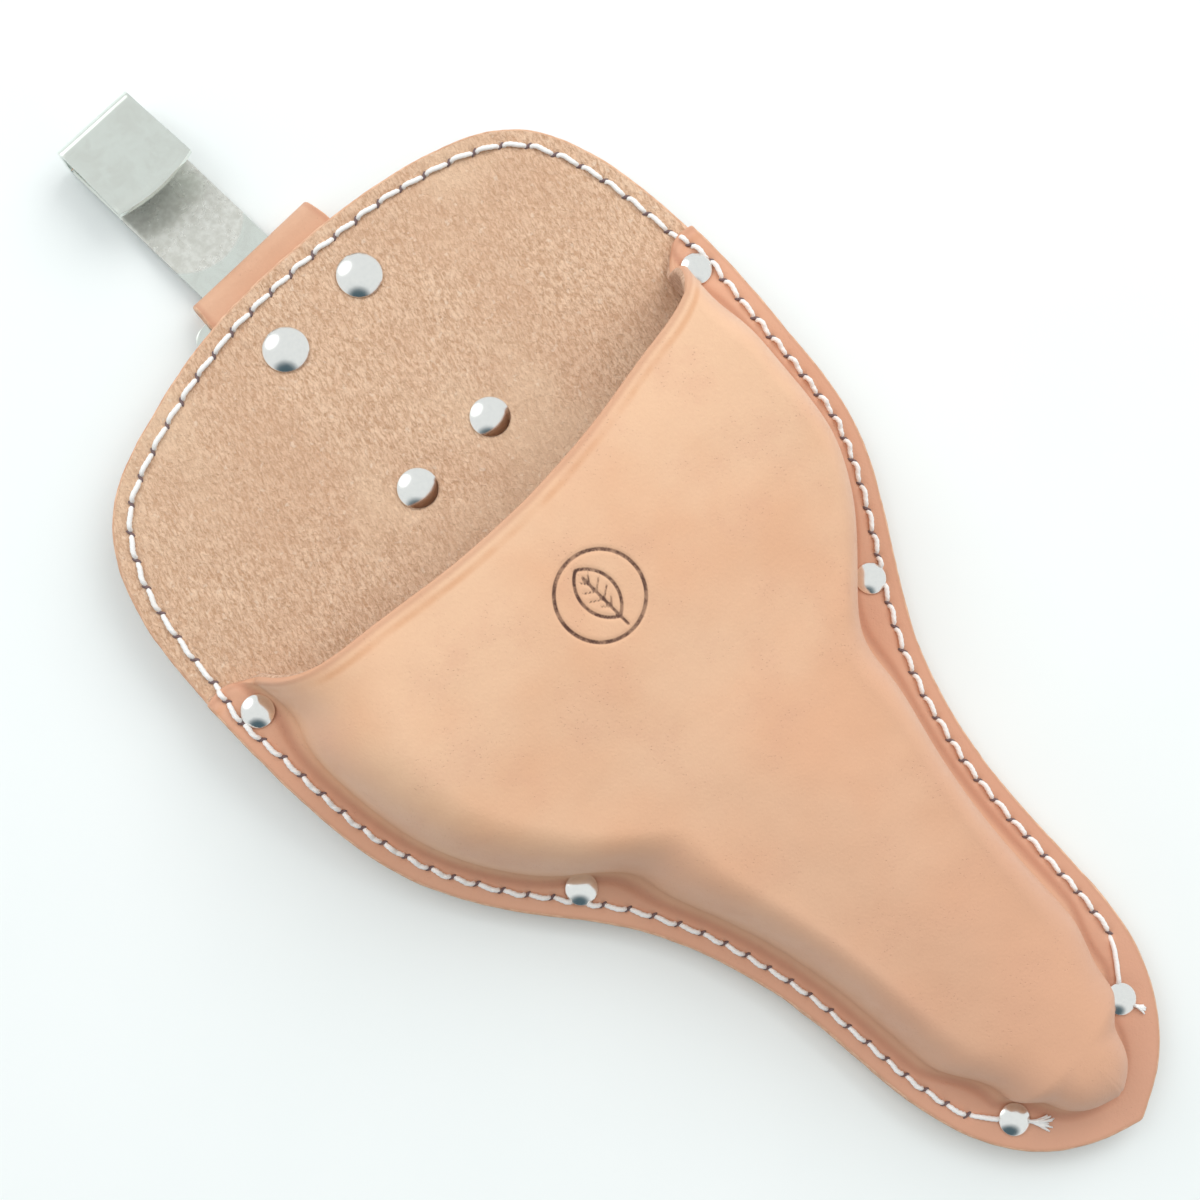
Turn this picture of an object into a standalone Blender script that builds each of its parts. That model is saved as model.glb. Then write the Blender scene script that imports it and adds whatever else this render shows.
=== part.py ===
"""Leather holster for hand shears, with a steel belt clip, lying on its back.

A broad back panel and a moulded front pocket are stitched and riveted together along their edge.
A leather strap is riveted to the back of the panel. Its upper end is folded over the cross head
of a bent steel belt clip, whose leg leaves through a slit in the fold, and its middle bows away
from the panel as a belt loop.

+Z is up, out through the pocket. +Y runs along the holster towards the clip, +X to the right.
The origin is under the middle of the holster, on the surface that it lies on.
Sizes are in millimetres here and become metres as each mesh is made.
"""

import math

import bmesh
import bpy
import numpy as np

MM = 0.001

# Leather and clearances
PANEL_THICK = 2.8
POCKET_THICK = 2.4
STRAP_THICK = 2.0
GAP = 0.3

# The edge that panel and pocket share: from the tip up the left side, over the top, down the right
OUTLINE = [
    (2, -146.4), (-9.6, -141.2), (-19.6, -132), (-26, -119.1), (-28.9, -103.5),
    (-30.2, -83.5), (-34, -63.6), (-42.2, -43.7), (-56.1, -23.7), (-65.7, -3.6),
    (-68.5, 16.5), (-68.4, 36.5), (-67, 56.5), (-62.6, 74.5), (-54.3, 86.3),
    (-37.9, 94), (-15.9, 98.9), (2, 99.7), (20.9, 98.6), (43.5, 94),
    (57.8, 86.3), (64.7, 74.5), (68.1, 56.5), (68.5, 36.5), (67.2, 16.5),
    (65.1, -3.7), (55.3, -24), (42.2, -44.1), (34.7, -63.8), (31.5, -83.6),
    (30.3, -103.6), (28, -119.3), (21.9, -132.3), (12.4, -141.5), (2, -146.4),
]
EDGE_SAMPLES = 1500
# The centre line that the leather's surfaces are fanned to, and how many rays run to it
SPINE_X = 1.0
SPINE_LOW = -121.0
SPINE_HIGH = 70.0
PANEL_RAYS = 112
POCKET_SIDE_RAYS = 38
LEAST_LEAN = 0.6

# Hanger strap: a ribbon folded over the clip's cross head
STRAP_X = (-14.8, 18.2)
STRAP_FRONT_END = 79.5
STRAP_REAR_END = 39.5
FOLD_Y = 102.9
FOLD_ROOM = 1.8
FOLD_Z = FOLD_ROOM + STRAP_THICK
SLIT_X = (-11.9, 7.9)
SLIT_Z = (-2.6, 1.7)
# Where its rear ply rises against the front one, comes away as a belt loop, and returns
RISE_BELOW_FOLD = (97.6, 91.9)
LOOP_LEAVES = (81.8, 74.5)
LOOP_RETURNS = (65.0, 53.2)

# Heights of the panel: up on the strap at the top, down on the table below the pocket's mouth
PANEL_TOP_HIGH = FOLD_Z + FOLD_ROOM + STRAP_THICK + GAP + PANEL_THICK
BASE_THICK = 1.0
PANEL_TOP_LOW = BASE_THICK + GAP + PANEL_THICK
SAG_FROM = 32.0
SAG_TO = -24.0

# Front pocket
MOUTH_Y = 46.0
MOUTH_FADE_TO = -25.0
FOOT_INSET = 8.0
FOOT_RIGHT = 1.4
FOOT_ROUND_LEFT_RIVET = 4.6
FOOT_ROUND_RIGHT_RIVET = 2.7
FOOT_RIVET_REACH = 9.0
FOOT_TIP_R = 15.2
FOOT_TIP_FROM = -104.0
FOOT_TIP_BLEND = 1.5
FOOT_CREASE = 1.2
# (along Y, height of the crown, width of the left wall, width of the right wall)
POCKET_SECTIONS = [
    (46, 21, 20, 7.5), (20, 23, 15, 8), (-15, 24, 12, 8), (-45, 22, 9, 7),
    (-80, 18, 7, 6.5), (-104, 15.2, 7.4, 7), (-121, 14.4, 8, 7.5),
]
WALL_BLEND_HALF = 25.0
TIP_WALL = 11.0
TIP_WALL_FROM = -112.0
TIP_WALL_OVER = 30.0
SHOULDER = 0.93
WALL_ANGLES = (20, 38, 56, 73, 90)
# How far the mouth's edge drops towards the middle: (distance in from the edge, drop)
MOUTH_DROP = [(0, 0), (8, 1.4), (12, 6.2), (17, 9.9), (32, 13.2), (50, 15.8), (70, 17)]

# Rivets: (x, y) of each post
SEAM_RIVETS = {
    "upper_left": (-61.9, 38.8), "upper_right": (62.4, 39.4),
    "middle_left": (-43.3, -30.8), "middle_right": (43.3, -30.5),
    "tip_left": (-16.2, -126.2), "tip_right": (16.7, -126.7),
}
STRAP_RIVETS = {
    "top_left": (-7.7, 85.9), "top_right": (13.4, 86.5),
    "lower_left": (-9.2, 47.9), "lower_right": (11.3, 47.9),
}
SEAM_CAP_R = 3.3
TOP_CAP_R = 4.7
LOWER_CAP_R = 4.2
POST_R = 1.4
CAP_RIM = 0.35
# As shares of the cap's radius: the dome's height, and the base's radius
CAP_DOME = 0.42
RIVET_BASE = 0.93
SOCKET_DEPTH = 0.55
RIVET_SIDES = 16

# Belt clip: one steel strip, cross head, leg, square fold, flap with an arched lip
CLIP_X = -2.0
CLIP_THICK = 1.2
CLIP_HALF = 9.2
LIP_HALF = 9.6
HEAD_HALF = 17.3
HEAD_LOW = 96.5
HEAD_HIGH = 102.3
HEAD_CORNER = 3.3
SWING_Y = 99.4
CLIP_TOP = 145.44
BEND_R = 1.8
FLAP_RISE = 8.6
FLAP_RUN = 14.2
LIP_ARCH = 1.4
LIP_CURL = math.radians(12)
LIP_CURL_R = 12.0
LIP_END = 3.0
CLIP_LEAN = math.radians(3.9)

# Thread
THREAD_R = 0.45
THREAD_STEP = 4.5
STITCH_INSET = 3.8
# How it bows round a rivet: clear of the cap, from this many clearances away, this steeply
THREAD_CLEAR = SEAM_CAP_R + GAP + THREAD_R + 0.15
BOW_FROM = 1.6
BOW_STEEPNESS = 1.4
# Over how many millimetres it climbs from the bare panel onto the pocket's flange
THREAD_CLIMB = 5.0


def natural_cubic(at_knots, values, at):
    """The natural cubic spline through values at at_knots, read at the places in at."""
    t, v, at = (np.asarray(a, float) for a in (at_knots, values, at))
    v = v.reshape(len(t), -1)
    h = np.diff(t)
    system = np.eye(len(t))
    right = np.zeros(v.shape)
    for i in range(1, len(t) - 1):
        system[i, i - 1:i + 2] = h[i - 1], 2 * (h[i - 1] + h[i]), h[i]
        right[i] = 6 * ((v[i + 1] - v[i]) / h[i] - (v[i] - v[i - 1]) / h[i - 1])
    bend = np.linalg.solve(system, right)
    i = np.clip(np.searchsorted(t, at) - 1, 0, len(t) - 2)
    step = h[i][:, None]
    b = (at - t[i])[:, None] / step
    a = 1 - b
    curve = (a**3 - a) * bend[i] + (b**3 - b) * bend[i + 1]
    return a * v[i] + b * v[i + 1] + curve * step**2 / 6


def smooth(t):
    """0 to 1 with level ends."""
    t = np.clip(t, 0, 1)
    return t * t * (3 - 2 * t)


def lengths(points):
    """Distance along a polyline at each of its points."""
    return np.concatenate([[0], np.cumsum(np.linalg.norm(np.diff(points, axis=0), axis=1))])


def panel_top(y):
    """Height of the back panel's upper face at y."""
    fall = smooth((SAG_FROM - np.asarray(y, float)) / (SAG_FROM - SAG_TO))
    return PANEL_TOP_HIGH - (PANEL_TOP_HIGH - PANEL_TOP_LOW) * fall


def edge_curve():
    """The shared edge as a fine polyline, with its length at each point."""
    knots = np.array(OUTLINE, float)
    chord = lengths(knots)
    fine = natural_cubic(chord, knots, np.linspace(0, chord[-1], EDGE_SAMPLES))
    return fine, lengths(fine)


EDGE, EDGE_AT = edge_curve()


def edge_points(start, stop, count):
    """count evenly spaced points of the edge with their inward normals."""
    at = np.linspace(start, stop, count)
    points = np.stack([np.interp(at, EDGE_AT, EDGE[:, k]) for k in (0, 1)], axis=1)
    ahead = np.stack([np.interp(at + 1, EDGE_AT, EDGE[:, k]) for k in (0, 1)], axis=1)
    behind = np.stack([np.interp(at - 1, EDGE_AT, EDGE[:, k]) for k in (0, 1)], axis=1)
    along = ahead - behind
    along /= np.linalg.norm(along, axis=1)[:, None]
    return points, np.stack([along[:, 1], -along[:, 0]], axis=1)


def edge_length_at_height(y, left):
    """Length along the edge where it crosses the height y on its left or right side."""
    half = len(EDGE) // 2
    side = slice(0, half) if left else slice(half, None)
    order = np.argsort(EDGE[side, 1])
    return float(np.interp(y, EDGE[side, 1][order], EDGE_AT[side][order]))


def spine_points(points, high, shift):
    """The point of the centre line that each edge point's ray runs to.

    Points that face each other across the centre line share one, so that their rays meet.
    """
    facing = np.roll(points[::-1], shift, axis=0)
    y = np.clip((points[:, 1] + facing[:, 1]) / 2, SPINE_LOW, high)
    return np.stack([np.full(len(y), SPINE_X), y], axis=1)


def material(name, colour, roughness, metallic=0.0):
    m = bpy.data.materials.new(name)
    m.use_nodes = True
    shader = m.node_tree.nodes["Principled BSDF"]
    shader.inputs["Base Color"].default_value = (*colour, 1)
    shader.inputs["Roughness"].default_value = roughness
    shader.inputs["Metallic"].default_value = metallic
    return m


def add_object(name, mesh, look, collection):
    mesh.materials.append(look)
    ob = bpy.data.objects.new(name, mesh)
    collection.objects.link(ob)
    return ob


def sheet_mesh(name, rows, closed=False):
    """A mesh of quads through rows of points in millimetres, doubled points welded."""
    bm = bmesh.new()
    grid = [[bm.verts.new((p[0] * MM, p[1] * MM, p[2] * MM)) for p in row] for row in rows]
    pairs = list(zip(grid, grid[1:]))
    if closed:
        pairs.append((grid[-1], grid[0]))
    for low, high in pairs:
        for i in range(len(low) - 1):
            bm.faces.new((low[i], low[i + 1], high[i + 1], high[i]))
    bmesh.ops.remove_doubles(bm, verts=bm.verts, dist=0.01 * MM)
    bmesh.ops.dissolve_degenerate(bm, edges=bm.edges, dist=0.01 * MM)
    bmesh.ops.recalc_face_normals(bm, faces=bm.faces)
    if sum(f.normal.z * f.calc_area() for f in bm.faces) < 0:
        bmesh.ops.reverse_faces(bm, faces=bm.faces)
    mesh = bpy.data.meshes.new(name)
    bm.to_mesh(mesh)
    bm.free()
    return mesh


def thicken(ob, thickness, offset):
    """Solidify: offset -1 grows down from the sheet, 0 grows both ways."""
    mod = ob.modifiers.new("Thickness", "SOLIDIFY")
    mod.thickness = thickness * MM
    mod.offset = offset
    mod.use_even_offset = True
    mod.use_quality_normals = True


def cut(ob, cutter):
    mod = ob.modifiers.new("Cut " + cutter.name, "BOOLEAN")
    mod.operation = "DIFFERENCE"
    mod.solver = "EXACT"
    mod.object = cutter


def as_cutter(ob):
    ob.hide_render = True
    ob.display_type = "WIRE"


def post_cutter(name, x, y, collection):
    """A drill for one rivet's hole, through every layer."""
    bm = bmesh.new()
    radius = (POST_R + GAP) * MM
    bmesh.ops.create_cone(
        bm, cap_ends=True, segments=12, radius1=radius, radius2=radius, depth=60 * MM
    )
    mesh = bpy.data.meshes.new(name)
    bm.to_mesh(mesh)
    bm.free()
    ob = bpy.data.objects.new(name, mesh)
    ob.location = (x * MM, y * MM, 0.01)
    collection.objects.link(ob)
    as_cutter(ob)
    return ob


def box_cutter(name, low, high, collection):
    """A box from one corner to the other."""
    bm = bmesh.new()
    bmesh.ops.create_cube(bm, size=1)
    size = [(b - a) * MM for a, b in zip(low, high)]
    bmesh.ops.scale(bm, vec=size, verts=bm.verts)
    mesh = bpy.data.meshes.new(name)
    bm.to_mesh(mesh)
    bm.free()
    ob = bpy.data.objects.new(name, mesh)
    ob.location = [(a + b) / 2 * MM for a, b in zip(low, high)]
    collection.objects.link(ob)
    as_cutter(ob)
    return ob


def back_panel(look, collection):
    """The whole outline as one sheet of leather, fanned from the edge to the centre line."""
    points = edge_points(0, EDGE_AT[-1], PANEL_RAYS + 1)[0][:-1]
    rows = []
    for p, q in zip(points, spine_points(points, SPINE_HIGH, 1)):
        row = [p + (q - p) * t for t in (0, 0.3, 0.65, 1)]
        rows.append([(x, y, panel_top(y)) for x, y in row])
    ob = add_object("back_panel", sheet_mesh("back_panel", rows, closed=True), look, collection)
    thicken(ob, PANEL_THICK, -1)
    return ob


def pocket_section(y, right):
    """Crown height and wall width of the pocket at y, with right from 0 (left) to 1."""
    table = np.array(POCKET_SECTIONS[::-1], float)
    crown, left_wall, right_wall = natural_cubic(table[:, 0], table[:, 1:], [y])[0]
    return crown, left_wall + (right_wall - left_wall) * right


def foot_inset(p, inner, right):
    """How far in from the edge point p the pocket's wall starts: round at the tip."""
    inset = FOOT_INSET + FOOT_RIGHT * right
    for rivet in SEAM_RIVETS.values():
        away = np.hypot(p[0] - rivet[0], p[1] - rivet[1])
        push = FOOT_ROUND_LEFT_RIVET if rivet[0] < 0 else FOOT_ROUND_RIGHT_RIVET
        inset += push * math.exp(-((away / FOOT_RIVET_REACH) ** 2))
    past = inner - FOOT_TIP_R - inset
    rounding = float(smooth((FOOT_TIP_FROM - p[1]) / (FOOT_TIP_FROM - SPINE_LOW)))
    return inset + rounding * (past + math.hypot(past, FOOT_TIP_BLEND)) / 2


def front_pocket(look, collection):
    """The moulded front: flat flange, wall, crown, each ray running from the edge inwards."""
    start = edge_length_at_height(MOUTH_Y, left=True)
    stop = edge_length_at_height(MOUTH_Y, left=False)
    left_part, left_normal = edge_points(0, start, POCKET_SIDE_RAYS)
    right_part, right_normal = edge_points(stop, EDGE_AT[-1], POCKET_SIDE_RAYS)
    points = np.concatenate([left_part[::-1], right_part[::-1][1:]])
    normals = np.concatenate([left_normal[::-1], right_normal[::-1][1:]])
    drop_in, drop = np.array(MOUTH_DROP, float).T
    rows = []
    for p, n, q in zip(points, normals, spine_points(points, MOUTH_Y, 0)):
        ray = q - p
        reach = np.linalg.norm(ray)
        ray /= reach
        lean = max(float(ray @ n), LEAST_LEAN)
        right = float(smooth((p[0] / WALL_BLEND_HALF + 1) / 2))
        crown, wall = pocket_section(q[1], right)
        tip = float(smooth((TIP_WALL_FROM - p[1]) / TIP_WALL_OVER))
        wall += (TIP_WALL - wall) * tip
        inner = reach * lean
        foot = foot_inset(p, inner, right)
        stations = [(0, 0), (foot * 0.5, 0), (foot - FOOT_CREASE, 0), (foot, 0.02)]
        for angle in WALL_ANGLES:
            a = math.radians(angle)
            stations.append((foot + wall * (1 - math.cos(a)), SHOULDER * math.sin(a)))
        last = foot + wall
        for t in (0.33, 0.66, 1.0):
            stations.append((last + (inner - last) * t, SHOULDER + (1 - SHOULDER) * smooth(t)))
        fade = float(smooth((q[1] - MOUTH_FADE_TO) / (MOUTH_Y - MOUTH_FADE_TO)))
        row = []
        for inset, rise in stations:
            x, y = p + ray * min(inset / lean, reach)
            y -= fade * float(natural_cubic(drop_in, drop, [inset / inner * drop_in[-1]])[0, 0])
            row.append((x, y, panel_top(y) + GAP + POCKET_THICK + crown * rise))
        rows.append(row)
    ob = add_object("front_pocket", sheet_mesh("front_pocket", rows), look, collection)
    thicken(ob, POCKET_THICK, -1)
    return ob


def strap_path():
    """The strap's middle line in (y, z), from its front end round the fold to its rear end."""
    middle = FOLD_ROOM + STRAP_THICK / 2
    front = FOLD_Z + middle
    rear = FOLD_Z - middle
    clamped = front - STRAP_THICK - GAP
    path = [(STRAP_FRONT_END, front), ((STRAP_FRONT_END + FOLD_Y) / 2, front)]
    steps = 8
    for i in range(steps + 1):
        a = math.pi * i / steps
        path.append((FOLD_Y + middle * math.sin(a), FOLD_Z + middle * math.cos(a)))

    def ramp(y_span, z_from, z_to):
        for t in np.linspace(0, 1, 8):
            y = y_span[0] + (y_span[1] - y_span[0]) * t
            path.append((y, z_from + (z_to - z_from) * smooth(t)))

    ramp(RISE_BELOW_FOLD, rear, clamped)
    ramp(LOOP_LEAVES, clamped, rear)
    ramp(LOOP_RETURNS, rear, front)
    path.append((STRAP_REAR_END, front))
    return path


def hanger_strap(look, collection):
    columns = np.linspace(*STRAP_X, 5)
    rows = [[(x, y, z) for x in columns] for y, z in strap_path()]
    ob = add_object("hanger_strap", sheet_mesh("hanger_strap", rows), look, collection)
    thicken(ob, STRAP_THICK, 0)
    return ob


def clip_path():
    """The clip's middle line in (along, up) from the hinge, as a fine polyline."""
    heading, at = 0.0, np.array([HEAD_LOW - SWING_Y, 0.0])
    path = [at]

    def straight(length):
        nonlocal at
        steps = max(int(length * 2), 1)
        for _ in range(steps):
            at = at + length / steps * np.array([math.cos(heading), math.sin(heading)])
            path.append(at)

    def turn(angle, radius):
        nonlocal at, heading
        steps = 8
        for _ in range(steps):
            heading += angle / steps / 2
            length = radius * abs(angle) / steps
            at = at + length * np.array([math.cos(heading), math.sin(heading)])
            heading += angle / steps / 2
            path.append(at)

    straight(CLIP_TOP - HEAD_LOW - BEND_R)
    turn(math.pi / 2, BEND_R)
    straight(FLAP_RISE - 2 * BEND_R)
    turn(math.pi / 2, BEND_R)
    straight(FLAP_RUN)
    turn(-LIP_CURL, LIP_CURL_R)
    straight(LIP_END)
    return np.array(path)


def clip_half_width(along):
    """Half the strip's width where its middle line has run along millimetres."""
    y = HEAD_LOW + along
    if y <= HEAD_LOW + HEAD_CORNER / 2:
        return HEAD_HALF - HEAD_CORNER / 2 + along
    if y <= HEAD_HIGH - HEAD_CORNER:
        return HEAD_HALF
    if y <= HEAD_HIGH:
        return HEAD_HALF - HEAD_CORNER + math.sqrt(
            max(HEAD_CORNER**2 - (y - HEAD_HIGH + HEAD_CORNER) ** 2, 0)
        )
    return CLIP_HALF


def belt_clip(look, collection, hinge):
    """The strip as a sheet of cross rows, the last of them arched for the lip."""
    path = clip_path()
    run = lengths(path)
    leg = CLIP_TOP - HEAD_LOW - BEND_R
    quarter = math.pi / 2 * BEND_R
    second = leg + quarter + FLAP_RISE - 2 * BEND_R
    flap = second + quarter
    head = HEAD_HIGH - HEAD_LOW
    stops = [0, HEAD_CORNER / 2, head - HEAD_CORNER]
    stops += [head - HEAD_CORNER * (1 - math.sin(math.radians(a))) for a in (25, 50, 72, 90)]
    stops += list(np.linspace(head + CLIP_THICK / 3, leg, 4))
    stops += [leg + quarter * t for t in (0.25, 0.5, 0.75, 1)]
    stops += [second + quarter * t for t in (0, 0.25, 0.5, 0.75, 1)]
    stops += list(np.linspace(flap + FLAP_RUN / 3, run[-1], 6))
    rows = []
    for stop in stops:
        half = clip_half_width(stop)
        part = smooth((stop - flap) / (run[-1] - flap))
        half += (LIP_HALF - CLIP_HALF) * part
        row = []
        for u in np.linspace(-1, 1, 9):
            here = stop - LIP_ARCH * part * u * u
            along, up = (float(np.interp(here, run, path[:, k])) for k in (0, 1))
            row.append((u * half, along, up))
        rows.append(row)
    mesh = sheet_mesh("belt_clip", rows)
    ob = add_object("belt_clip", mesh, look, collection)
    ob.parent = hinge
    thicken(ob, CLIP_THICK, 0)
    return ob


def turned(name, profile, look, collection, place):
    """A turned piece: the profile (radius, height) runs down its outer side, top to bottom."""
    bm = bmesh.new()
    verts = [bm.verts.new((r * MM, 0, z * MM)) for r, z in profile]
    for a, b in zip(verts, verts[1:]):
        bm.edges.new((a, b))
    mesh = bpy.data.meshes.new(name)
    bm.to_mesh(mesh)
    bm.free()
    ob = add_object(name, mesh, look, collection)
    ob.location = [c * MM for c in place]
    mod = ob.modifiers.new("Turn", "SCREW")
    mod.steps = mod.render_steps = RIVET_SIDES
    mod.use_merge_vertices = True
    mod.merge_threshold = 0.00001
    mod.use_smooth_shade = True
    return ob


def rivet(name, cap_r, x, y, under, over, look, collection):
    """A two-piece rivet: a post with its base under the leather, a domed cap pressed over it."""
    dome = cap_r * CAP_DOME
    depth = dome * SOCKET_DEPTH
    socket = POST_R + GAP
    cap = [(0, dome)]
    for angle in (60, 40, 20):
        a = math.radians(angle)
        cap.append((cap_r * math.cos(a), CAP_RIM + (dome - CAP_RIM) * math.sin(a)))
    cap += [(cap_r, CAP_RIM), (cap_r - CAP_RIM, 0), (socket, 0), (socket, depth), (0, depth)]
    seat = over + GAP
    turned(f"{name}_cap", cap, look, collection, (x, y, seat))
    base_r = cap_r * RIVET_BASE
    top = seat - under + depth - GAP
    foot = -GAP - BASE_THICK
    post = [(0, top), (POST_R, top), (POST_R, -GAP), (base_r, -GAP)]
    post += [(base_r, foot + CAP_RIM), (base_r - CAP_RIM, foot), (0, foot)]
    turned(f"{name}_post", post, look, collection, (x, y, under))


def edge_length_at_strap(x):
    """Length along the top of the edge where it passes over x."""
    top = EDGE[:, 1] > FOLD_Y - 10
    return float(np.interp(x, EDGE[top, 0], EDGE_AT[top]))


def thread(name, start, stop, height, look, collection):
    """A seam thread as a tube along the stitch line, from one length along the edge to another."""
    points, normals = edge_points(start, stop, int((stop - start) / THREAD_STEP))
    route = []
    for p, n in zip(points, normals):
        at = p + n * STITCH_INSET
        for rivet_at in SEAM_RIVETS.values():
            away = at - np.array(rivet_at)
            distance = np.linalg.norm(away)
            short = THREAD_CLEAR + away @ n
            push = (THREAD_CLEAR * BOW_FROM - distance) * BOW_STEEPNESS
            at = at - n * max(min(short, push), 0)
        route.append((at[0], at[1], height(at[1])))
    curve = bpy.data.curves.new(name, "CURVE")
    curve.dimensions = "3D"
    curve.bevel_depth = THREAD_R * MM
    curve.bevel_resolution = 1
    curve.use_fill_caps = True
    spline = curve.splines.new("POLY")
    spline.points.add(len(route) - 1)
    for point, (x, y, z) in zip(spline.points, route):
        point.co = (x * MM, y * MM, z * MM, 1)
    return add_object(name, curve, look, collection)


def front_thread_height(y):
    """Over the pocket's flange up to just past its mouth, over the bare panel above that."""
    flange = smooth((MOUTH_Y + THREAD_CLIMB + 3 - y) / THREAD_CLIMB)
    return panel_top(y) + (POCKET_THICK + GAP) * flange + GAP + THREAD_R


def back_thread_height(y):
    return panel_top(y) - PANEL_THICK - GAP - THREAD_R


def build():
    for ob in list(bpy.data.objects):
        bpy.data.objects.remove(ob)
    holster = bpy.data.collections.new("shear_holster")
    cutters = bpy.data.collections.new("cutters")
    for collection in (holster, cutters):
        bpy.context.scene.collection.children.link(collection)

    suede = material("panel_leather", (0.70, 0.42, 0.26), 0.95)
    grain = material("pocket_leather", (0.80, 0.48, 0.28), 0.5)
    strap_leather = material("strap_leather", (0.78, 0.45, 0.28), 0.5)
    nickel = material("rivet_nickel", (0.80, 0.80, 0.78), 0.15, 1.0)
    steel = material("clip_steel", (0.68, 0.69, 0.66), 0.28, 1.0)
    white = material("thread_white", (0.90, 0.89, 0.86), 0.7)

    panel = back_panel(suede, holster)
    pocket = front_pocket(grain, holster)
    strap = hanger_strap(strap_leather, holster)

    slit = box_cutter(
        "slit",
        (SLIT_X[0], FOLD_Y, FOLD_Z + SLIT_Z[0]),
        (SLIT_X[1], FOLD_Y + 2 * FOLD_Z, FOLD_Z + SLIT_Z[1]),
        cutters,
    )
    cut(strap, slit)

    hinge = bpy.data.objects.new("clip_hinge", None)
    hinge.location = (CLIP_X * MM, SWING_Y * MM, FOLD_Z * MM)
    hinge.rotation_euler = (-CLIP_LEAN, 0, 0)
    holster.objects.link(hinge)
    belt_clip(steel, holster, hinge)

    for place, (x, y) in SEAM_RIVETS.items():
        drill = post_cutter(f"hole_seam_{place}", x, y, cutters)
        cut(panel, drill)
        cut(pocket, drill)
        top = float(panel_top(y))
        over = top + GAP + POCKET_THICK
        rivet(f"seam_rivet_{place}", SEAM_CAP_R, x, y, top - PANEL_THICK, over, nickel, holster)

    fold_middle = FOLD_ROOM + STRAP_THICK / 2
    for place, (x, y) in STRAP_RIVETS.items():
        drill = post_cutter(f"hole_strap_{place}", x, y, cutters)
        cut(panel, drill)
        cut(strap, drill)
        under = FOLD_Z + fold_middle - STRAP_THICK / 2
        radius = LOWER_CAP_R
        if place.startswith("top"):
            under -= STRAP_THICK + GAP
            radius = TOP_CAP_R
        rivet(f"strap_rivet_{place}", radius, x, y, under, PANEL_TOP_HIGH, nickel, holster)

    first = edge_length_at_height(SEAM_RIVETS["tip_left"][1] + 2 * SEAM_CAP_R, left=True)
    last = edge_length_at_height(SEAM_RIVETS["tip_right"][1] + 2 * SEAM_CAP_R, left=False)
    strap_left = edge_length_at_strap(STRAP_X[0] - STRAP_THICK)
    strap_right = edge_length_at_strap(STRAP_X[1] + STRAP_THICK)
    thread("seam_thread_front", first, last, front_thread_height, white, holster)
    thread("seam_thread_back_left", first, strap_left, back_thread_height, white, holster)
    thread("seam_thread_back_right", strap_right, last, back_thread_height, white, holster)


build()
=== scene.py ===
"""The looks of a leather shear holster with a belt clip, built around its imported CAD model.

Every CAD node is replaced by a detailed piece in the same place: the suede back panel, the
moulded pocket, the folded strap, the steel clip, the turned rivets and every single stitch.
Lengths are in millimetres here and become metres as each mesh is made. The axes are the CAD's:
+Z up, out through the pocket, +Y along the holster towards the clip, +X to the right.
"""

import math

import bmesh
import bpy
import numpy as np
from mathutils import Matrix, Vector, noise


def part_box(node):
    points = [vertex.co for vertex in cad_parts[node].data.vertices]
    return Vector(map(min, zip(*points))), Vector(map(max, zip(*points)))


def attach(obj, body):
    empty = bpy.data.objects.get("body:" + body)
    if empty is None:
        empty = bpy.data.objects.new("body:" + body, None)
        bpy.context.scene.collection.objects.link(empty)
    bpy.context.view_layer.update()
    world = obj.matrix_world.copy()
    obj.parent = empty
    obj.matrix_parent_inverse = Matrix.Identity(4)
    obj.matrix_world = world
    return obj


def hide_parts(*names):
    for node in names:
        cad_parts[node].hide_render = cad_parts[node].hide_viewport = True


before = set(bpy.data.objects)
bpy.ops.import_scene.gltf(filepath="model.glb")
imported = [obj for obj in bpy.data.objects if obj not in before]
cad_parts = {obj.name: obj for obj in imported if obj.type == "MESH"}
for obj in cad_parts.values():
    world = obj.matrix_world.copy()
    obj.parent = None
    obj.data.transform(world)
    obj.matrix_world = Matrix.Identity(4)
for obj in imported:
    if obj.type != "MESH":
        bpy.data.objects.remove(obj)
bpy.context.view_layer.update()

MM = 0.001
SEED = 7
BODY = "holster"

# ---------------------------------------------------------------- sizes that the CAD has too
# Three differ from the CAD's, for the looks: FOOT_PUSH on the right, LIP_CURL, and the DOME values

PANEL_THICK = 2.8
POCKET_THICK = 2.4
STRAP_THICK = 2.0
GAP = 0.3

# The edge that panel and pocket share: from the tip up the left side, over the top, down the right
OUTLINE = [
    (2, -146.4), (-9.6, -141.2), (-19.6, -132), (-26, -119.1), (-28.9, -103.5),
    (-30.2, -83.5), (-34, -63.6), (-42.2, -43.7), (-56.1, -23.7), (-65.7, -3.6),
    (-68.5, 16.5), (-68.4, 36.5), (-67, 56.5), (-62.6, 74.5), (-54.3, 86.3),
    (-37.9, 94), (-15.9, 98.9), (2, 99.7), (20.9, 98.6), (43.5, 94),
    (57.8, 86.3), (64.7, 74.5), (68.1, 56.5), (68.5, 36.5), (67.2, 16.5),
    (65.1, -3.7), (55.3, -24), (42.2, -44.1), (34.7, -63.8), (31.5, -83.6),
    (30.3, -103.6), (28, -119.3), (21.9, -132.3), (12.4, -141.5), (2, -146.4),
]
SPINE_X = 1.0
SPINE_LOW = -121.0
SPINE_HIGH = 70.0
LEAST_LEAN = 0.6

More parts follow.
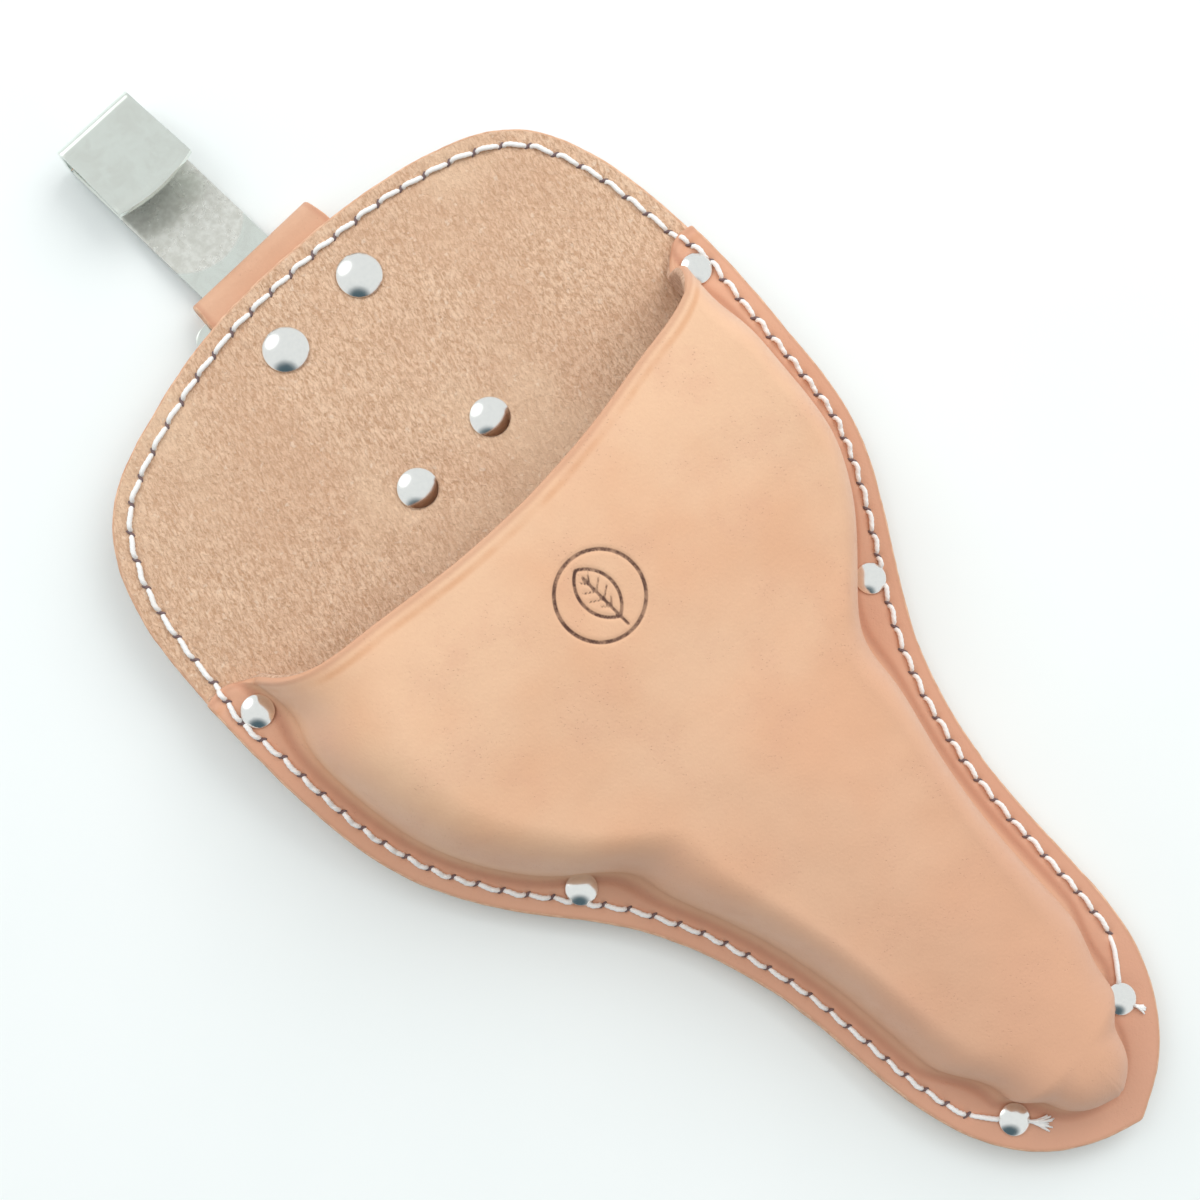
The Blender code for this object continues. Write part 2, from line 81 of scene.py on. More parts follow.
STRAP_X = (-14.8, 18.2)
STRAP_FRONT_END = 79.5
STRAP_REAR_END = 39.5
FOLD_Y = 102.9
FOLD_ROOM = 1.8
FOLD_Z = FOLD_ROOM + STRAP_THICK
SLIT_X = (-11.9, 7.9)
SLIT_Z = (-2.6, 1.7)
RISE_BELOW_FOLD = (97.6, 91.9)
LOOP_LEAVES = (81.8, 74.5)
LOOP_RETURNS = (65.0, 53.2)

PANEL_TOP_HIGH = FOLD_Z + FOLD_ROOM + STRAP_THICK + GAP + PANEL_THICK
BASE_THICK = 1.0
PANEL_TOP_LOW = BASE_THICK + GAP + PANEL_THICK
SAG_FROM = 32.0
SAG_TO = -24.0

MOUTH_Y = 46.0
MOUTH_FADE_TO = -25.0
FOOT_INSET = 8.0
FOOT_RIGHT = 1.4
# How far each seam rivet pushes the foot of the wall in, and over what distance from the rivet. The
# CAD has 2.7 over 9 at all three on the right, which leaves the two lower ones half covered.
FOOT_PUSH = {
    "upper_left": (4.6, 9), "middle_left": (4.6, 9), "tip_left": (4.6, 9),
    "upper_right": (2.7, 9), "middle_right": (4.8, 13), "tip_right": (5.5, 11),
}
FOOT_TIP_R = 15.2
FOOT_TIP_FROM = -104.0
FOOT_TIP_BLEND = 1.5
# (along Y, height of the crown, width of the left wall, width of the right wall)
POCKET_SECTIONS = [
    (46, 21, 20, 7.5), (20, 23, 15, 8), (-15, 24, 12, 8), (-45, 22, 9, 7),
    (-80, 18, 7, 6.5), (-104, 15.2, 7.4, 7), (-121, 14.4, 8, 7.5),
]
WALL_BLEND_HALF = 25.0
TIP_WALL = 11.0
TIP_WALL_FROM = -112.0
TIP_WALL_OVER = 30.0
SHOULDER = 0.93
# Below DOME_FROM the wall and crown turn, over DOME_OVER, into one rounded dome
DOME_POWER = 2.8
DOME_FROM = -86.0
DOME_OVER = 28.0
# How far the mouth's edge drops towards the middle: (distance in from the edge, drop)
MOUTH_DROP = [(0, 0), (8, 1.4), (12, 6.2), (17, 9.9), (32, 13.2), (50, 15.8), (70, 17)]

CLIP_X = -2.0
CLIP_THICK = 1.2
CLIP_HALF = 9.2
LIP_HALF = 9.6
HEAD_HALF = 17.3
HEAD_LOW = 96.5
HEAD_HIGH = 102.3
HEAD_CORNER = 3.3
SWING_Y = 99.4
CLIP_TOP = 145.44
BEND_R = 1.8
FLAP_RISE = 8.6
FLAP_RUN = 14.2
LIP_ARCH = 1.4
# The CAD's lip curls 12 degrees, which mirrors the bright side of the room as a band
LIP_CURL = math.radians(4)
LIP_CURL_R = 12.0
LIP_END = 3.0
CLIP_LEAN = math.radians(3.9)

STITCH_INSET = 3.8

# ---------------------------------------------------------------- sizes that only the looks have

EDGE_STEP = 0.25
EDGE_SOFTEN = 0.6
PANEL_STEP = 0.62
POCKET_STEP = 0.66
EDGE_ROUND = 0.55
FLANGE_LIFT = 0.06
FLOOR_DROP = 0.05

# Near the low end of the centre line the rays crowd together: there the surface moves straight up
CROWDED_BELOW = -100
CROWDED_OVER = 12
CROWN_FROM = 0.94
CROWN_OVER = 0.05
MARK_ABOVE = 20
# What a field holds where its feature is out of reach
FAR = 9.0

# Stitches: pitch on the pocket's flange and on the bare panel, and the thread's half thickness
PITCH_FLANGE = 5.1
PITCH_PANEL = 5.6
THREAD_R = 0.52
STITCH_BULGE_FLANGE = 0.26
STITCH_BULGE_PANEL = 0.08
STITCH_SLANT = 0.12
STITCH_SINK = 1.0
HOLE_GAP = 0.42

# The round mark pressed into the pocket: a ring round a leaf
MARK_AT = (-2.4, 7.2)
MARK_R = 8.6
MARK_DEPTH = 0.34

# The leg's patch of painted shade and reflection from the flap above it, a disc about a point under the flap
FLAP_SHADE_Y = 122.0
FLAP_SHADE_R = 12.2

# Camera: it looks almost straight down, leaning a little to the left, with the clip up and left
CAMERA_TARGET = (0.28, 6.5, 10.0)
CAMERA_OFFSET = (-41.7, 2.2, 297.1)
CAMERA_UP = (0.7206, 0.6934, 0.0)
CAMERA_LENS = 45.0


# ---------------------------------------------------------------- camera

def make_camera():
    camera = bpy.data.objects.new("camera", bpy.data.cameras.new("camera"))
    back = Vector(CAMERA_OFFSET).normalized()
    right = Vector(CAMERA_UP).cross(back).normalized()
    up = back.cross(right)
    turn = Matrix((right, up, back)).transposed().to_4x4()
    place = (Vector(CAMERA_TARGET) + Vector(CAMERA_OFFSET)) * MM
    camera.matrix_world = Matrix.Translation(place) @ turn
    camera.data.lens = CAMERA_LENS
    camera.data.sensor_width = 36.0
    camera.data.clip_start = 0.01
    bpy.context.scene.collection.objects.link(camera)
    bpy.context.scene.camera = camera


make_camera()


# ---------------------------------------------------------------- curves and fields

def natural_cubic(at_knots, values, at):
    """The natural cubic spline through values at at_knots, read at the places in at."""
    t, v, at = (np.asarray(a, float) for a in (at_knots, values, at))
    v = v.reshape(len(t), -1)
    h = np.diff(t)
    system = np.eye(len(t))
    right = np.zeros(v.shape)
    for i in range(1, len(t) - 1):
        system[i, i - 1:i + 2] = h[i - 1], 2 * (h[i - 1] + h[i]), h[i]
        right[i] = 6 * ((v[i + 1] - v[i]) / h[i] - (v[i] - v[i - 1]) / h[i - 1])
    bend = np.linalg.solve(system, right)
    i = np.clip(np.searchsorted(t, at) - 1, 0, len(t) - 2)
    step = h[i][:, None]
    b = (at - t[i])[:, None] / step
    a = 1 - b
    curve = (a**3 - a) * bend[i] + (b**3 - b) * bend[i + 1]
    return a * v[i] + b * v[i + 1] + curve * step**2 / 6


def smooth(t):
    """0 to 1 with level ends."""
    t = np.clip(t, 0, 1)
    return t * t * (3 - 2 * t)


def lengths(points):
    """Distance along a polyline at each of its points."""
    return np.concatenate([[0], np.cumsum(np.linalg.norm(np.diff(points, axis=0), axis=1))])


def unit(v):
    return v / np.maximum(np.linalg.norm(v, axis=-1, keepdims=True), 1e-9)


def ripple(points, size, seed=0.0, octaves=2):
    """Smooth noise from -1 to 1 at points in millimetres, with features about size across."""
    flat = np.asarray(points, float).reshape(-1, np.shape(points)[-1])
    out = np.empty(len(flat))
    for k, p in enumerate(flat / size):
        where = Vector((p[0] + seed, p[1] - seed, p[2] if len(p) > 2 else seed))
        out[k] = noise.fractal(where, 1.0, 2.0, octaves)
    return out.reshape(np.shape(points)[:-1])


def panel_top(y):
    """Height of the back panel's upper face at y."""
    fall = smooth((SAG_FROM - np.asarray(y, float)) / (SAG_FROM - SAG_TO))
    return PANEL_TOP_HIGH - (PANEL_TOP_HIGH - PANEL_TOP_LOW) * fall


def edge_curve():
    """The shared edge as an even closed polyline, its corner at the tip a little rounded."""
    knots = np.array(OUTLINE, float)
    chord = lengths(knots)
    fine = natural_cubic(chord, knots, np.linspace(0, chord[-1], 4000))
    at = lengths(fine)
    even = np.linspace(0, at[-1], int(at[-1] / EDGE_STEP), endpoint=False)
    points = np.stack([np.interp(even, at, fine[:, k]) for k in (0, 1)], axis=1)
    reach = int(3 * EDGE_SOFTEN / EDGE_STEP)
    steps = np.arange(-reach, reach + 1) * EDGE_STEP
    weights = np.exp(-((steps / EDGE_SOFTEN) ** 2) / 2)
    weights /= weights.sum()
    wrapped = np.concatenate([points[-reach:], points, points[:reach]])
    soft = np.stack([np.convolve(wrapped[:, k], weights, "valid") for k in (0, 1)], axis=1)
    closed = np.concatenate([soft, soft[:1]])
    return closed, lengths(closed)


EDGE, EDGE_AT = edge_curve()
EDGE_LENGTH = EDGE_AT[-1]


def edge_at(at):
    """Points of the edge at the lengths in at, with their inward normals."""
    def read(where):
        where = np.mod(where, EDGE_LENGTH)
        return np.stack([np.interp(where, EDGE_AT, EDGE[:, k]) for k in (0, 1)], axis=1)

    along = unit(read(at + 1) - read(at - 1))
    return read(at), np.stack([along[:, 1], -along[:, 0]], axis=1)


def edge_length_at_height(y, left):
    """Length along the edge where it crosses the height y on its left or right side."""
    half = len(EDGE) // 2
    side = slice(0, half) if left else slice(half, None)
    order = np.argsort(EDGE[side, 1])
    return float(np.interp(y, EDGE[side, 1][order], EDGE_AT[side][order]))


def spine_points(points, high, shift):
    """The point of the centre line that each edge point's ray runs to, shared by facing points."""
    facing = np.roll(points[::-1], shift, axis=0)
    y = np.clip((points[:, 1] + facing[:, 1]) / 2, SPINE_LOW, high)
    return np.stack([np.full(len(y), SPINE_X), y], axis=1)


# ---------------------------------------------------------------- rivets, read from the frame

def rivet_places():
    """Every rivet's name with its axis, cap radius, and the boxes of its cap and post."""
    places = {}
    for node in sorted(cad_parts):
        if node.endswith("_cap"):
            name = node[:-len("_cap")]
            low, high = (np.array(c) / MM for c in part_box(node))
            base_low, base_high = (np.array(c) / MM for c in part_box(name + "_post"))
            places[name] = {
                "at": (low + high)[:2] / 2,
                "radius": (high - low)[0] / 2,
                "seat": low[2],
                "dome": (high - low)[2],
                "under": base_low[2],
                "base": (base_high - base_low)[0] / 2,
            }
    return places


RIVETS = rivet_places()
SEAM_AT = {k[len("seam_rivet_"):]: r["at"] for k, r in RIVETS.items() if k.startswith("seam")}


# ---------------------------------------------------------------- stitch line

def stitch_line():
    """The seam on the front as a fine polyline, from the left tip rivet round to the right one."""
    start = edge_length_at_height(SEAM_AT["tip_left"][1] + 6.5, left=True)
    stop = edge_length_at_height(SEAM_AT["tip_right"][1] + 5.0, left=False)
    points, normals = edge_at(np.arange(start, stop, EDGE_STEP))
    inset = STITCH_INSET - 0.3 * smooth((points[:, 1] - 70) / 20)
    line = points + normals * inset[:, None]
    for name in ("upper_left", "upper_right"):
        away = np.linalg.norm(line - SEAM_AT[name], axis=1)
        line = line - normals * (1.1 * np.exp(-((away / 5.5) ** 2)))[:, None]
    return line


def stitch_holes(line):
    """Where the needle went through: even steps along the line, with a worker's small errors."""
    random = np.random.default_rng(SEED)
    at = lengths(line)
    holes = [SEAM_AT["tip_left"]]
    where = 0.0
    while where < at[-1]:
        place = np.array([np.interp(where, at, line[:, k]) for k in (0, 1)])
        holes.append(place + random.normal(0, 0.07, 2))
        on_flange = place[1] < MOUTH_Y
        where += (PITCH_FLANGE if on_flange else PITCH_PANEL) * random.normal(1, 0.025)
    holes.append(SEAM_AT["tip_right"])
    return np.array(holes)


HOLES = stitch_holes(stitch_line())
HOLE_ALONG = unit(np.gradient(HOLES, axis=0))
HOLE_OUT = np.stack([-HOLE_ALONG[:, 1], HOLE_ALONG[:, 0]], axis=1)


def front_height(place):
    """Height of the front surface at a place on the stitch line."""
    return panel_top(place[1]) + (GAP + POCKET_THICK if place[1] < MOUTH_Y else 0.0)


def dents(xy, centres, reach, depth):
    """How deep the surface at each point of xy is pulled in at the centres."""
    total = np.zeros(xy.shape[:-1])
    for centre in centres:
        away = ((xy - centre) ** 2).sum(axis=-1)
        total += depth * np.exp(-away / reach**2)
    return np.minimum(total, depth * 1.2)


def seam_dents(xy):
    """Pull of the seam: a dent at each hole and a shallow channel between them."""
    middles = (HOLES[1:] + HOLES[:-1]) / 2
    quarters = [HOLES[:-1] * 0.75 + HOLES[1:] * 0.25, HOLES[:-1] * 0.25 + HOLES[1:] * 0.75]
    channel = dents(xy, np.concatenate([middles, *quarters]), 1.5, 0.16)
    return dents(xy, HOLES, 1.0, 0.5) + channel


def rivet_dish(xy, names):
    """Leather pressed down under the rivet caps, with a soft bank round them."""
    total = np.zeros(xy.shape[:-1])
    for name in names:
        rivet = RIVETS[name]
        away = np.linalg.norm(xy - rivet["at"], axis=-1) / rivet["radius"]
        total += 0.32 * np.exp(-(away**4) / 3)
    return total


# ---------------------------------------------------------------- meshes

def add_piece(name, mesh, slot, *looks, body=BODY, replaces=()):
    """An object for the mesh that rides on a body and stands for the CAD nodes it replaces."""
    for look in looks:
        mesh.materials.append(look)
    mesh.shade_smooth()
    piece = bpy.data.objects.new(name, mesh)
    bpy.context.scene.collection.objects.link(piece)
    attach(piece, body)
    if replaces:
        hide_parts(*replaces)
    return piece


def turned_out(bm):
    """Faces of a closed mesh point out of it."""
    if bm.calc_volume(signed=True) < 0:
        bmesh.ops.reverse_faces(bm, faces=bm.faces)


def grid_mesh(name, points, closed=False, fields=None, kinds=None):
    """A closed mesh through rows of points in millimetres; doubled points are welded.

    fields are numbers stored on the points, kinds the material number of each column of faces.
    """
    rows, stations = points.shape[:2]
    index = np.arange(rows * stations).reshape(rows, stations)
    if closed:
        index = np.vstack([index, index[:1]])
    corners = (index[:-1, :-1], index[:-1, 1:], index[1:, 1:], index[1:, :-1])
    faces = np.stack(corners, axis=-1).reshape(-1, 4)
    mesh = bpy.data.meshes.new(name)
    mesh.from_pydata((points.reshape(-1, 3) * MM).tolist(), [], faces.tolist())
    for key, values in (fields or {}).items():
        layer = mesh.attributes.new(key, "FLOAT", "POINT")
        layer.data.foreach_set("value", np.asarray(values, np.float32).ravel())
    if kinds is not None:
        mesh.polygons.foreach_set("material_index", np.tile(kinds, len(index) - 1))
    bm = bmesh.new()
    bm.from_mesh(mesh)
    bmesh.ops.remove_doubles(bm, verts=bm.verts, dist=0.004 * MM)
    bmesh.ops.dissolve_degenerate(bm, edges=bm.edges, dist=0.002 * MM)
    turned_out(bm)
    bm.to_mesh(mesh)
    bm.free()
    return mesh


def grid_normals(grid, closed=False):
    """Upward normals of a grid of points."""
    if closed:
        wrapped = np.concatenate([grid[-1:], grid, grid[:1]])
        along = (wrapped[2:] - wrapped[:-2]) / 2
    else:
        along = np.gradient(grid, axis=0)
    normals = unit(np.cross(along, np.gradient(grid, axis=1)))
    return normals * np.sign(normals[..., 2].mean())


def share_spine(points, column, shift, fan=None):
    """Facing rays end in one point, the mean of the two, and all rays of a fan in one."""
    facing = np.roll(points[::-1, column], shift, axis=0)
    points[:, column] = (points[:, column] + facing) / 2
    if fan is not None:
        points[fan, column] = points[fan, column].mean(axis=0)


def tube_faces(rings, sides, start):
    """Faces of one closed tube whose rings of points begin at index start."""
    faces = []
    for i in range(rings - 1):
        for j in range(sides):
            a = start + i * sides + j
            b = start + i * sides + (j + 1) % sides
            faces.append((a, b, b + sides, a + sides))
    faces.append(tuple(start + j for j in reversed(range(sides))))
    faces.append(tuple(start + (rings - 1) * sides + j for j in range(sides)))
    return faces


def tubes_mesh(name, tubes, sides=12):
    """One mesh of many closed tubes. A tube is (centres, half widths, half heights, twist)."""
    points, faces = [], []
    angle = np.linspace(0, 2 * math.pi, sides, endpoint=False)
    for centres, wide, high, twist in tubes:
        centres = np.asarray(centres, float)
        ahead = unit(np.gradient(centres, axis=0))
        side = unit(np.cross(ahead, (0.0, 0.0, 1.0)))
        up = np.cross(side, ahead)
        run = lengths(centres)
        faces += tube_faces(len(centres), sides, len(points))
        for k, centre in enumerate(centres):
            ply = 1 + 0.1 * np.cos(3 * (angle - twist * run[k]))
            ring = centre + np.outer(np.cos(angle) * ply * wide[k], side[k])
            points.extend(ring + np.outer(np.sin(angle) * ply * high[k], up[k]))
    mesh = bpy.data.meshes.new(name)
    mesh.from_pydata((np.array(points) * MM).tolist(), [], faces)
    bm = bmesh.new()
    bm.from_mesh(mesh)
    bmesh.ops.recalc_face_normals(bm, faces=bm.faces)
    bm.to_mesh(mesh)
    bm.free()
    return mesh


def turned_mesh(name, profile, place, steps=56):
    """A solid of revolution: profile is (radius, height) from the axis over the top and back."""
    rows = []
    for i in range(steps):
        a = 2 * math.pi * i / steps
        rows.append([(r * math.cos(a), r * math.sin(a), z) for r, z in profile])
    return grid_mesh(name, np.array(rows) + place, closed=True)


# ---------------------------------------------------------------- materials

class Look:
    """A material's node tree, with short calls for the nodes that the looks share."""

    def __init__(self, name, roughness=0.5, metallic=0.0):
        self.material = bpy.data.materials.new(name)
        self.material.use_nodes = True
        self.tree = self.material.node_tree
        self.shader = self.tree.nodes["Principled BSDF"]
        self.shader.inputs["Roughness"].default_value = roughness
        self.shader.inputs["Metallic"].default_value = metallic
        self.place = self.tree.nodes.new("ShaderNodeTexCoord").outputs["Object"]

    def give(self, socket, value):
        if isinstance(value, bpy.types.NodeSocket):
            self.tree.links.new(value, socket)
        elif isinstance(value, (tuple, list)) and len(value) == 3 and socket.type == "RGBA":
            socket.default_value = (*value, 1.0)
        else:
            socket.default_value = value

    def math(self, operation, a, b=0.0, clamp=False):
        node = self.tree.nodes.new("ShaderNodeMath")
        node.operation = operation
        node.use_clamp = clamp
        self.give(node.inputs[0], a)
        self.give(node.inputs[1], b)
        return node.outputs[0]

    def stretched(self, stretch, turn=0.0):
        """The object's coordinates turned about Z by an angle in degrees, and then stretched."""
        turned = self.tree.nodes.new("ShaderNodeMapping")
        turned.inputs["Rotation"].default_value = (0.0, 0.0, math.radians(turn))
        self.give(turned.inputs["Vector"], self.place)
        node = self.tree.nodes.new("ShaderNodeMapping")
        node.inputs["Scale"].default_value = stretch
        self.give(node.inputs["Vector"], turned.outputs[0])
        return node.outputs[0]

    def noise(self, size, detail=4.0, rough=0.55, place=None, distortion=0.0):
        """Noise from 0 to 1 with features about size millimetres across."""
        node = self.tree.nodes.new("ShaderNodeTexNoise")
        self.give(node.inputs["Vector"], place or self.place)
        node.inputs["Scale"].default_value = 1.0 / (size * MM)
        node.inputs["Detail"].default_value = detail
        node.inputs["Roughness"].default_value = rough
        node.inputs["Distortion"].default_value = distortion
        return node.outputs["Fac"]

    def cells(self, size, place=None, feature="F1"):
        """Distance to the nearest of scattered points, in cells about size millimetres across."""
        node = self.tree.nodes.new("ShaderNodeTexVoronoi")
        node.feature = feature
        self.give(node.inputs["Vector"], place or self.place)
        node.inputs["Scale"].default_value = 1.0 / (size * MM)
        return node.outputs["Distance"]

    def field(self, name):
        """A number stored on the mesh's points."""
        node = self.tree.nodes.new("ShaderNodeAttribute")
        node.attribute_name = name
        return node.outputs["Fac"]

    def span(self, value, low, high, to_low=0.0, to_high=1.0):
        """value from low..high mapped smoothly to to_low..to_high."""
        node = self.tree.nodes.new("ShaderNodeMapRange")
        node.interpolation_type = "SMOOTHSTEP"
        node.inputs["From Min"].default_value = low
        node.inputs["From Max"].default_value = high
        node.inputs["To Min"].default_value = to_low
        node.inputs["To Max"].default_value = to_high
        self.give(node.inputs["Value"], value)
        return node.outputs["Result"]

    def mix(self, factor, a, b, blend="MIX"):
        node = self.tree.nodes.new("ShaderNodeMix")
        node.data_type = "RGBA"
        node.blend_type = blend
        self.give(node.inputs["Factor"], factor)
        self.give(node.inputs[6], a)
        self.give(node.inputs[7], b)
        return node.outputs[2]

    def axes(self):
        """The object's coordinates as three numbers, in metres."""
        node = self.tree.nodes.new("ShaderNodeSeparateXYZ")
        self.give(node.inputs[0], self.place)
        return node.outputs

    def colour(self, value):
        self.give(self.shader.inputs["Base Color"], value)

    def roughness(self, value):
        self.give(self.shader.inputs["Roughness"], value)

    def bump(self, height, depth, below=None, strength=1.0):
        """A bump of depth millimetres for a height from 0 to 1, over an earlier bump."""
        node = self.tree.nodes.new("ShaderNodeBump")
        node.inputs["Strength"].default_value = strength
        node.inputs["Distance"].default_value = depth * MM
        self.give(node.inputs["Height"], height)
        if below is not None:
            self.give(node.inputs["Normal"], below)
        self.give(self.shader.inputs["Normal"], node.outputs["Normal"])
        return node.outputs["Normal"]

    def set(self, **sockets):
        """Plain numbers straight on the shader's own sockets."""
        for name, value in sockets.items():
            self.shader.inputs[name.replace("_", " ")].default_value = value


def grain_leather(name, light, warm, red):
    """Smooth vegetable-tanned leather: cloudy tone, redder patches and fine pores."""
    look = Look(name, roughness=0.5)
    clouds = look.noise(34, detail=3, rough=0.5)
    tone = look.mix(look.span(clouds, 0.36, 0.66), light, warm)
    patches = look.noise(11, detail=5, rough=0.6)
    tone = look.mix(look.span(patches, 0.45, 0.75, 0.0, 0.28), tone, red)
    fine = look.noise(0.9, detail=4, rough=0.6)
    tone = look.mix(look.span(fine, 0.3, 0.7, 0.0, 0.10), tone, red)
    pores = look.cells(0.75, place=look.stretched((1.0, 1.0, 1.0)))
    pore = look.math("MULTIPLY", look.span(pores, 0.05, 0.22, 1.0, 0.0), look.span(patches, 0.4, 0.62))
    tone = look.mix(look.math("MULTIPLY", pore, 0.22), tone, [c * 0.55 for c in red])
    return look, tone, pore


def pocket_look():
    light, warm, red = (0.83, 0.53, 0.34), (0.79, 0.45, 0.27), (0.70, 0.375, 0.25)
    look, tone, pore = grain_leather("pocket_grain", light, warm, red)
    low = look.span(look.axes()[1], -0.13, 0.04, 0.72, 0.0)
    tone = look.mix(low, tone, (0.68, 0.37, 0.24))
    # Painted sheen and shade: a greyer, pinker band on the wall just above its foot, for how the sloping
    # wall takes the room's light.
    wall = look.span(look.field("foot"), 0.5, 5.0)
    wall = look.math("MULTIPLY", wall, look.span(look.field("foot"), 4.0, 12.0, 0.42, 0.0))
    tone = look.mix(wall, tone, (0.64, 0.375, 0.275))
    flange = look.span(look.field("foot"), -1.0, 2.2, 1.0, 0.0)
    tone = look.mix(look.math("MULTIPLY", flange, 0.62), tone, (0.68, 0.345, 0.235))
    crease = look.span(look.math("ABSOLUTE", look.field("foot")), 0.0, 1.5, 1.0, 0.0)
    tone = look.mix(look.math("MULTIPLY", crease, 0.55), tone, (0.50, 0.215, 0.13))
    rim = look.span(look.field("rim"), 0.3, 1.3, 1.0, 0.0)
    tone = look.mix(look.math("MULTIPLY", rim, 0.5), tone, (0.56, 0.27, 0.165))
    from_line = look.math("ABSOLUTE", look.math("SUBTRACT", look.field("mouth"), 2.4))
    line = look.span(from_line, 0.1, 1.1, 1.0, 0.0)
    line = look.math("MULTIPLY", line, look.span(look.noise(14, detail=3), 0.4, 0.62, 0.05, 0.5))
    tone = look.mix(line, tone, (0.66, 0.30, 0.14))
    uneven = look.span(look.noise(2.4, detail=5, rough=0.7), 0.36, 0.6)
    mark = look.span(look.field("mark"), -0.12, 0.16, 1.0, 0.0)
    burnt = look.math("MULTIPLY", mark, look.math("ADD", look.math("MULTIPLY", uneven, 0.4), 0.56))
    tone = look.mix(burnt, tone, (0.075, 0.026, 0.018))
    look.colour(tone)
    gloss = look.span(look.noise(6, detail=4), 0.3, 0.7, 0.44, 0.58)
    look.roughness(look.math("SUBTRACT", gloss, look.math("MULTIPLY", crease, 0.08)))
    grain = look.bump(look.noise(0.35, detail=3), 0.035)
    grain = look.bump(look.cells(0.62), 0.03, below=grain)
    grain = look.bump(look.math("MULTIPLY", pore, -1.0), 0.06, below=grain)
    look.bump(look.noise(2.6, detail=4), 0.05, below=grain)
    look.set(Specular_IOR_Level=0.42)
    return look.material


def strap_look():
    look, tone, pore = grain_leather(
        "strap_grain", (0.72, 0.425, 0.28), (0.66, 0.37, 0.235), (0.54, 0.27, 0.17)
    )
    rim = look.span(look.field("rim"), 0.2, 1.4, 1.0, 0.0)
    tone = look.mix(look.math("MULTIPLY", rim, 0.5), tone, (0.54, 0.25, 0.155))
    look.colour(tone)
    look.roughness(look.span(look.noise(5, detail=4), 0.3, 0.7, 0.42, 0.56))
    grain = look.bump(look.noise(0.35, detail=3), 0.035)
    grain = look.bump(look.cells(0.62), 0.03, below=grain)
    look.bump(look.math("MULTIPLY", pore, -1.0), 0.06, below=grain)
    look.set(Specular_IOR_Level=0.42)
    return look.material


def back_look():
    """The panel's grain side, which lies against the wearer: plainer, rubbed a little."""
    look, tone, pore = grain_leather(
        "panel_grain", (0.74, 0.44, 0.27), (0.70, 0.395, 0.235), (0.55, 0.275, 0.17)
    )
    rim = look.span(look.field("rim"), 0.3, 1.6, 1.0, 0.0)
    tone = look.mix(look.math("MULTIPLY", rim, 0.5), tone, (0.52, 0.25, 0.155))
    rubs = look.span(look.noise(1.4, detail=5, place=look.stretched((0.12, 1.0, 1.0), 29)), 0.6, 0.74)
    tone = look.mix(look.math("MULTIPLY", rubs, 0.25), tone, (0.82, 0.56, 0.40))
    look.colour(tone)
    look.roughness(look.span(look.noise(5, detail=4), 0.3, 0.7, 0.46, 0.62))
    grain = look.bump(look.noise(0.4, detail=3), 0.04)
    look.bump(look.math("MULTIPLY", pore, -1.0), 0.07, below=grain)
    return look.material


def suede_look():
    """The flesh side: short fibres that catch the light, clouds where the nap lies over."""
    look = Look("suede", roughness=0.95)
    fibres = look.noise(0.5, 5, 0.72, look.stretched((1.0, 0.36, 1.0), 16), distortion=0.5)
    across = look.noise(0.42, 5, 0.7, look.stretched((1.0, 0.42, 1.0), -28), distortion=0.7)
    tone = look.mix(look.span(fibres, 0.37, 0.64), (0.60, 0.345, 0.205), (0.98, 0.70, 0.50))
    tone = look.mix(look.span(across, 0.4, 0.66, 0.0, 0.45), tone, (0.88, 0.585, 0.40))
    clouds = look.span(look.noise(26, detail=5, rough=0.6), 0.38, 0.66)
    tone = look.mix(look.math("MULTIPLY", clouds, 0.4), tone, (0.72, 0.43, 0.275))
    pale = look.span(look.noise(38, detail=3), 0.5, 0.68, 0.0, 0.45)
    tone = look.mix(pale, tone, (0.95, 0.68, 0.47))
    bits = look.noise(1.5, detail=2)
    tone = look.mix(look.span(bits, 0.63, 0.72, 0.0, 0.45), tone, (1.0, 0.80, 0.64))
    scuff = look.noise(5.5, 5, 0.65, look.stretched((1.0, 0.25, 1.0), -38), distortion=0.4)
    tone = look.mix(look.span(scuff, 0.66, 0.74, 0.0, 0.5), tone, (1.0, 0.79, 0.63))
    rim = look.span(look.field("rim"), 0.0, 1.0, 1.0, 0.0)
    tone = look.mix(look.math("MULTIPLY", rim, 0.35), tone, (0.72, 0.42, 0.27))
    look.colour(tone)
    nap = look.bump(fibres, 0.4)
    nap = look.bump(across, 0.24, below=nap)
    look.bump(look.noise(3.2, detail=4), 0.2, below=nap)
    look.set(Specular_IOR_Level=0.15, Sheen_Weight=0.2, Sheen_Roughness=0.6)
    look.shader.inputs["Sheen Tint"].default_value = (1.0, 0.86, 0.74, 1.0)
    return look.material


def cut_look():
    """A cut edge: the fibrous middle of the hide between its two faces, waxed and rubbed."""
    look = Look("cut_leather", roughness=0.6)
    layers = look.noise(0.55, detail=5, rough=0.65, place=look.stretched((0.25, 0.25, 1.6)))
    tone = look.mix(look.span(layers, 0.34, 0.68), (0.62, 0.335, 0.205), (0.82, 0.52, 0.345))
    spots = look.span(look.noise(3.5, detail=4), 0.52, 0.7, 0.0, 0.5)
    tone = look.mix(spots, tone, (0.54, 0.275, 0.17))
    look.colour(tone)
    look.bump(layers, 0.16)
    return look.material


def flesh_look():
    """The inside of the pocket and strap: plain flesh side."""
    look = Look("flesh_side", roughness=0.95)
    fibres = look.noise(0.7, detail=6, rough=0.7, place=look.stretched((1.0, 0.4, 1.0), 34))
    tone = look.mix(look.span(fibres, 0.35, 0.68), (0.48, 0.27, 0.17), (0.76, 0.52, 0.37))
    look.colour(tone)
    look.bump(fibres, 0.3)
    look.set(Specular_IOR_Level=0.2, Sheen_Weight=0.15)
    return look.material


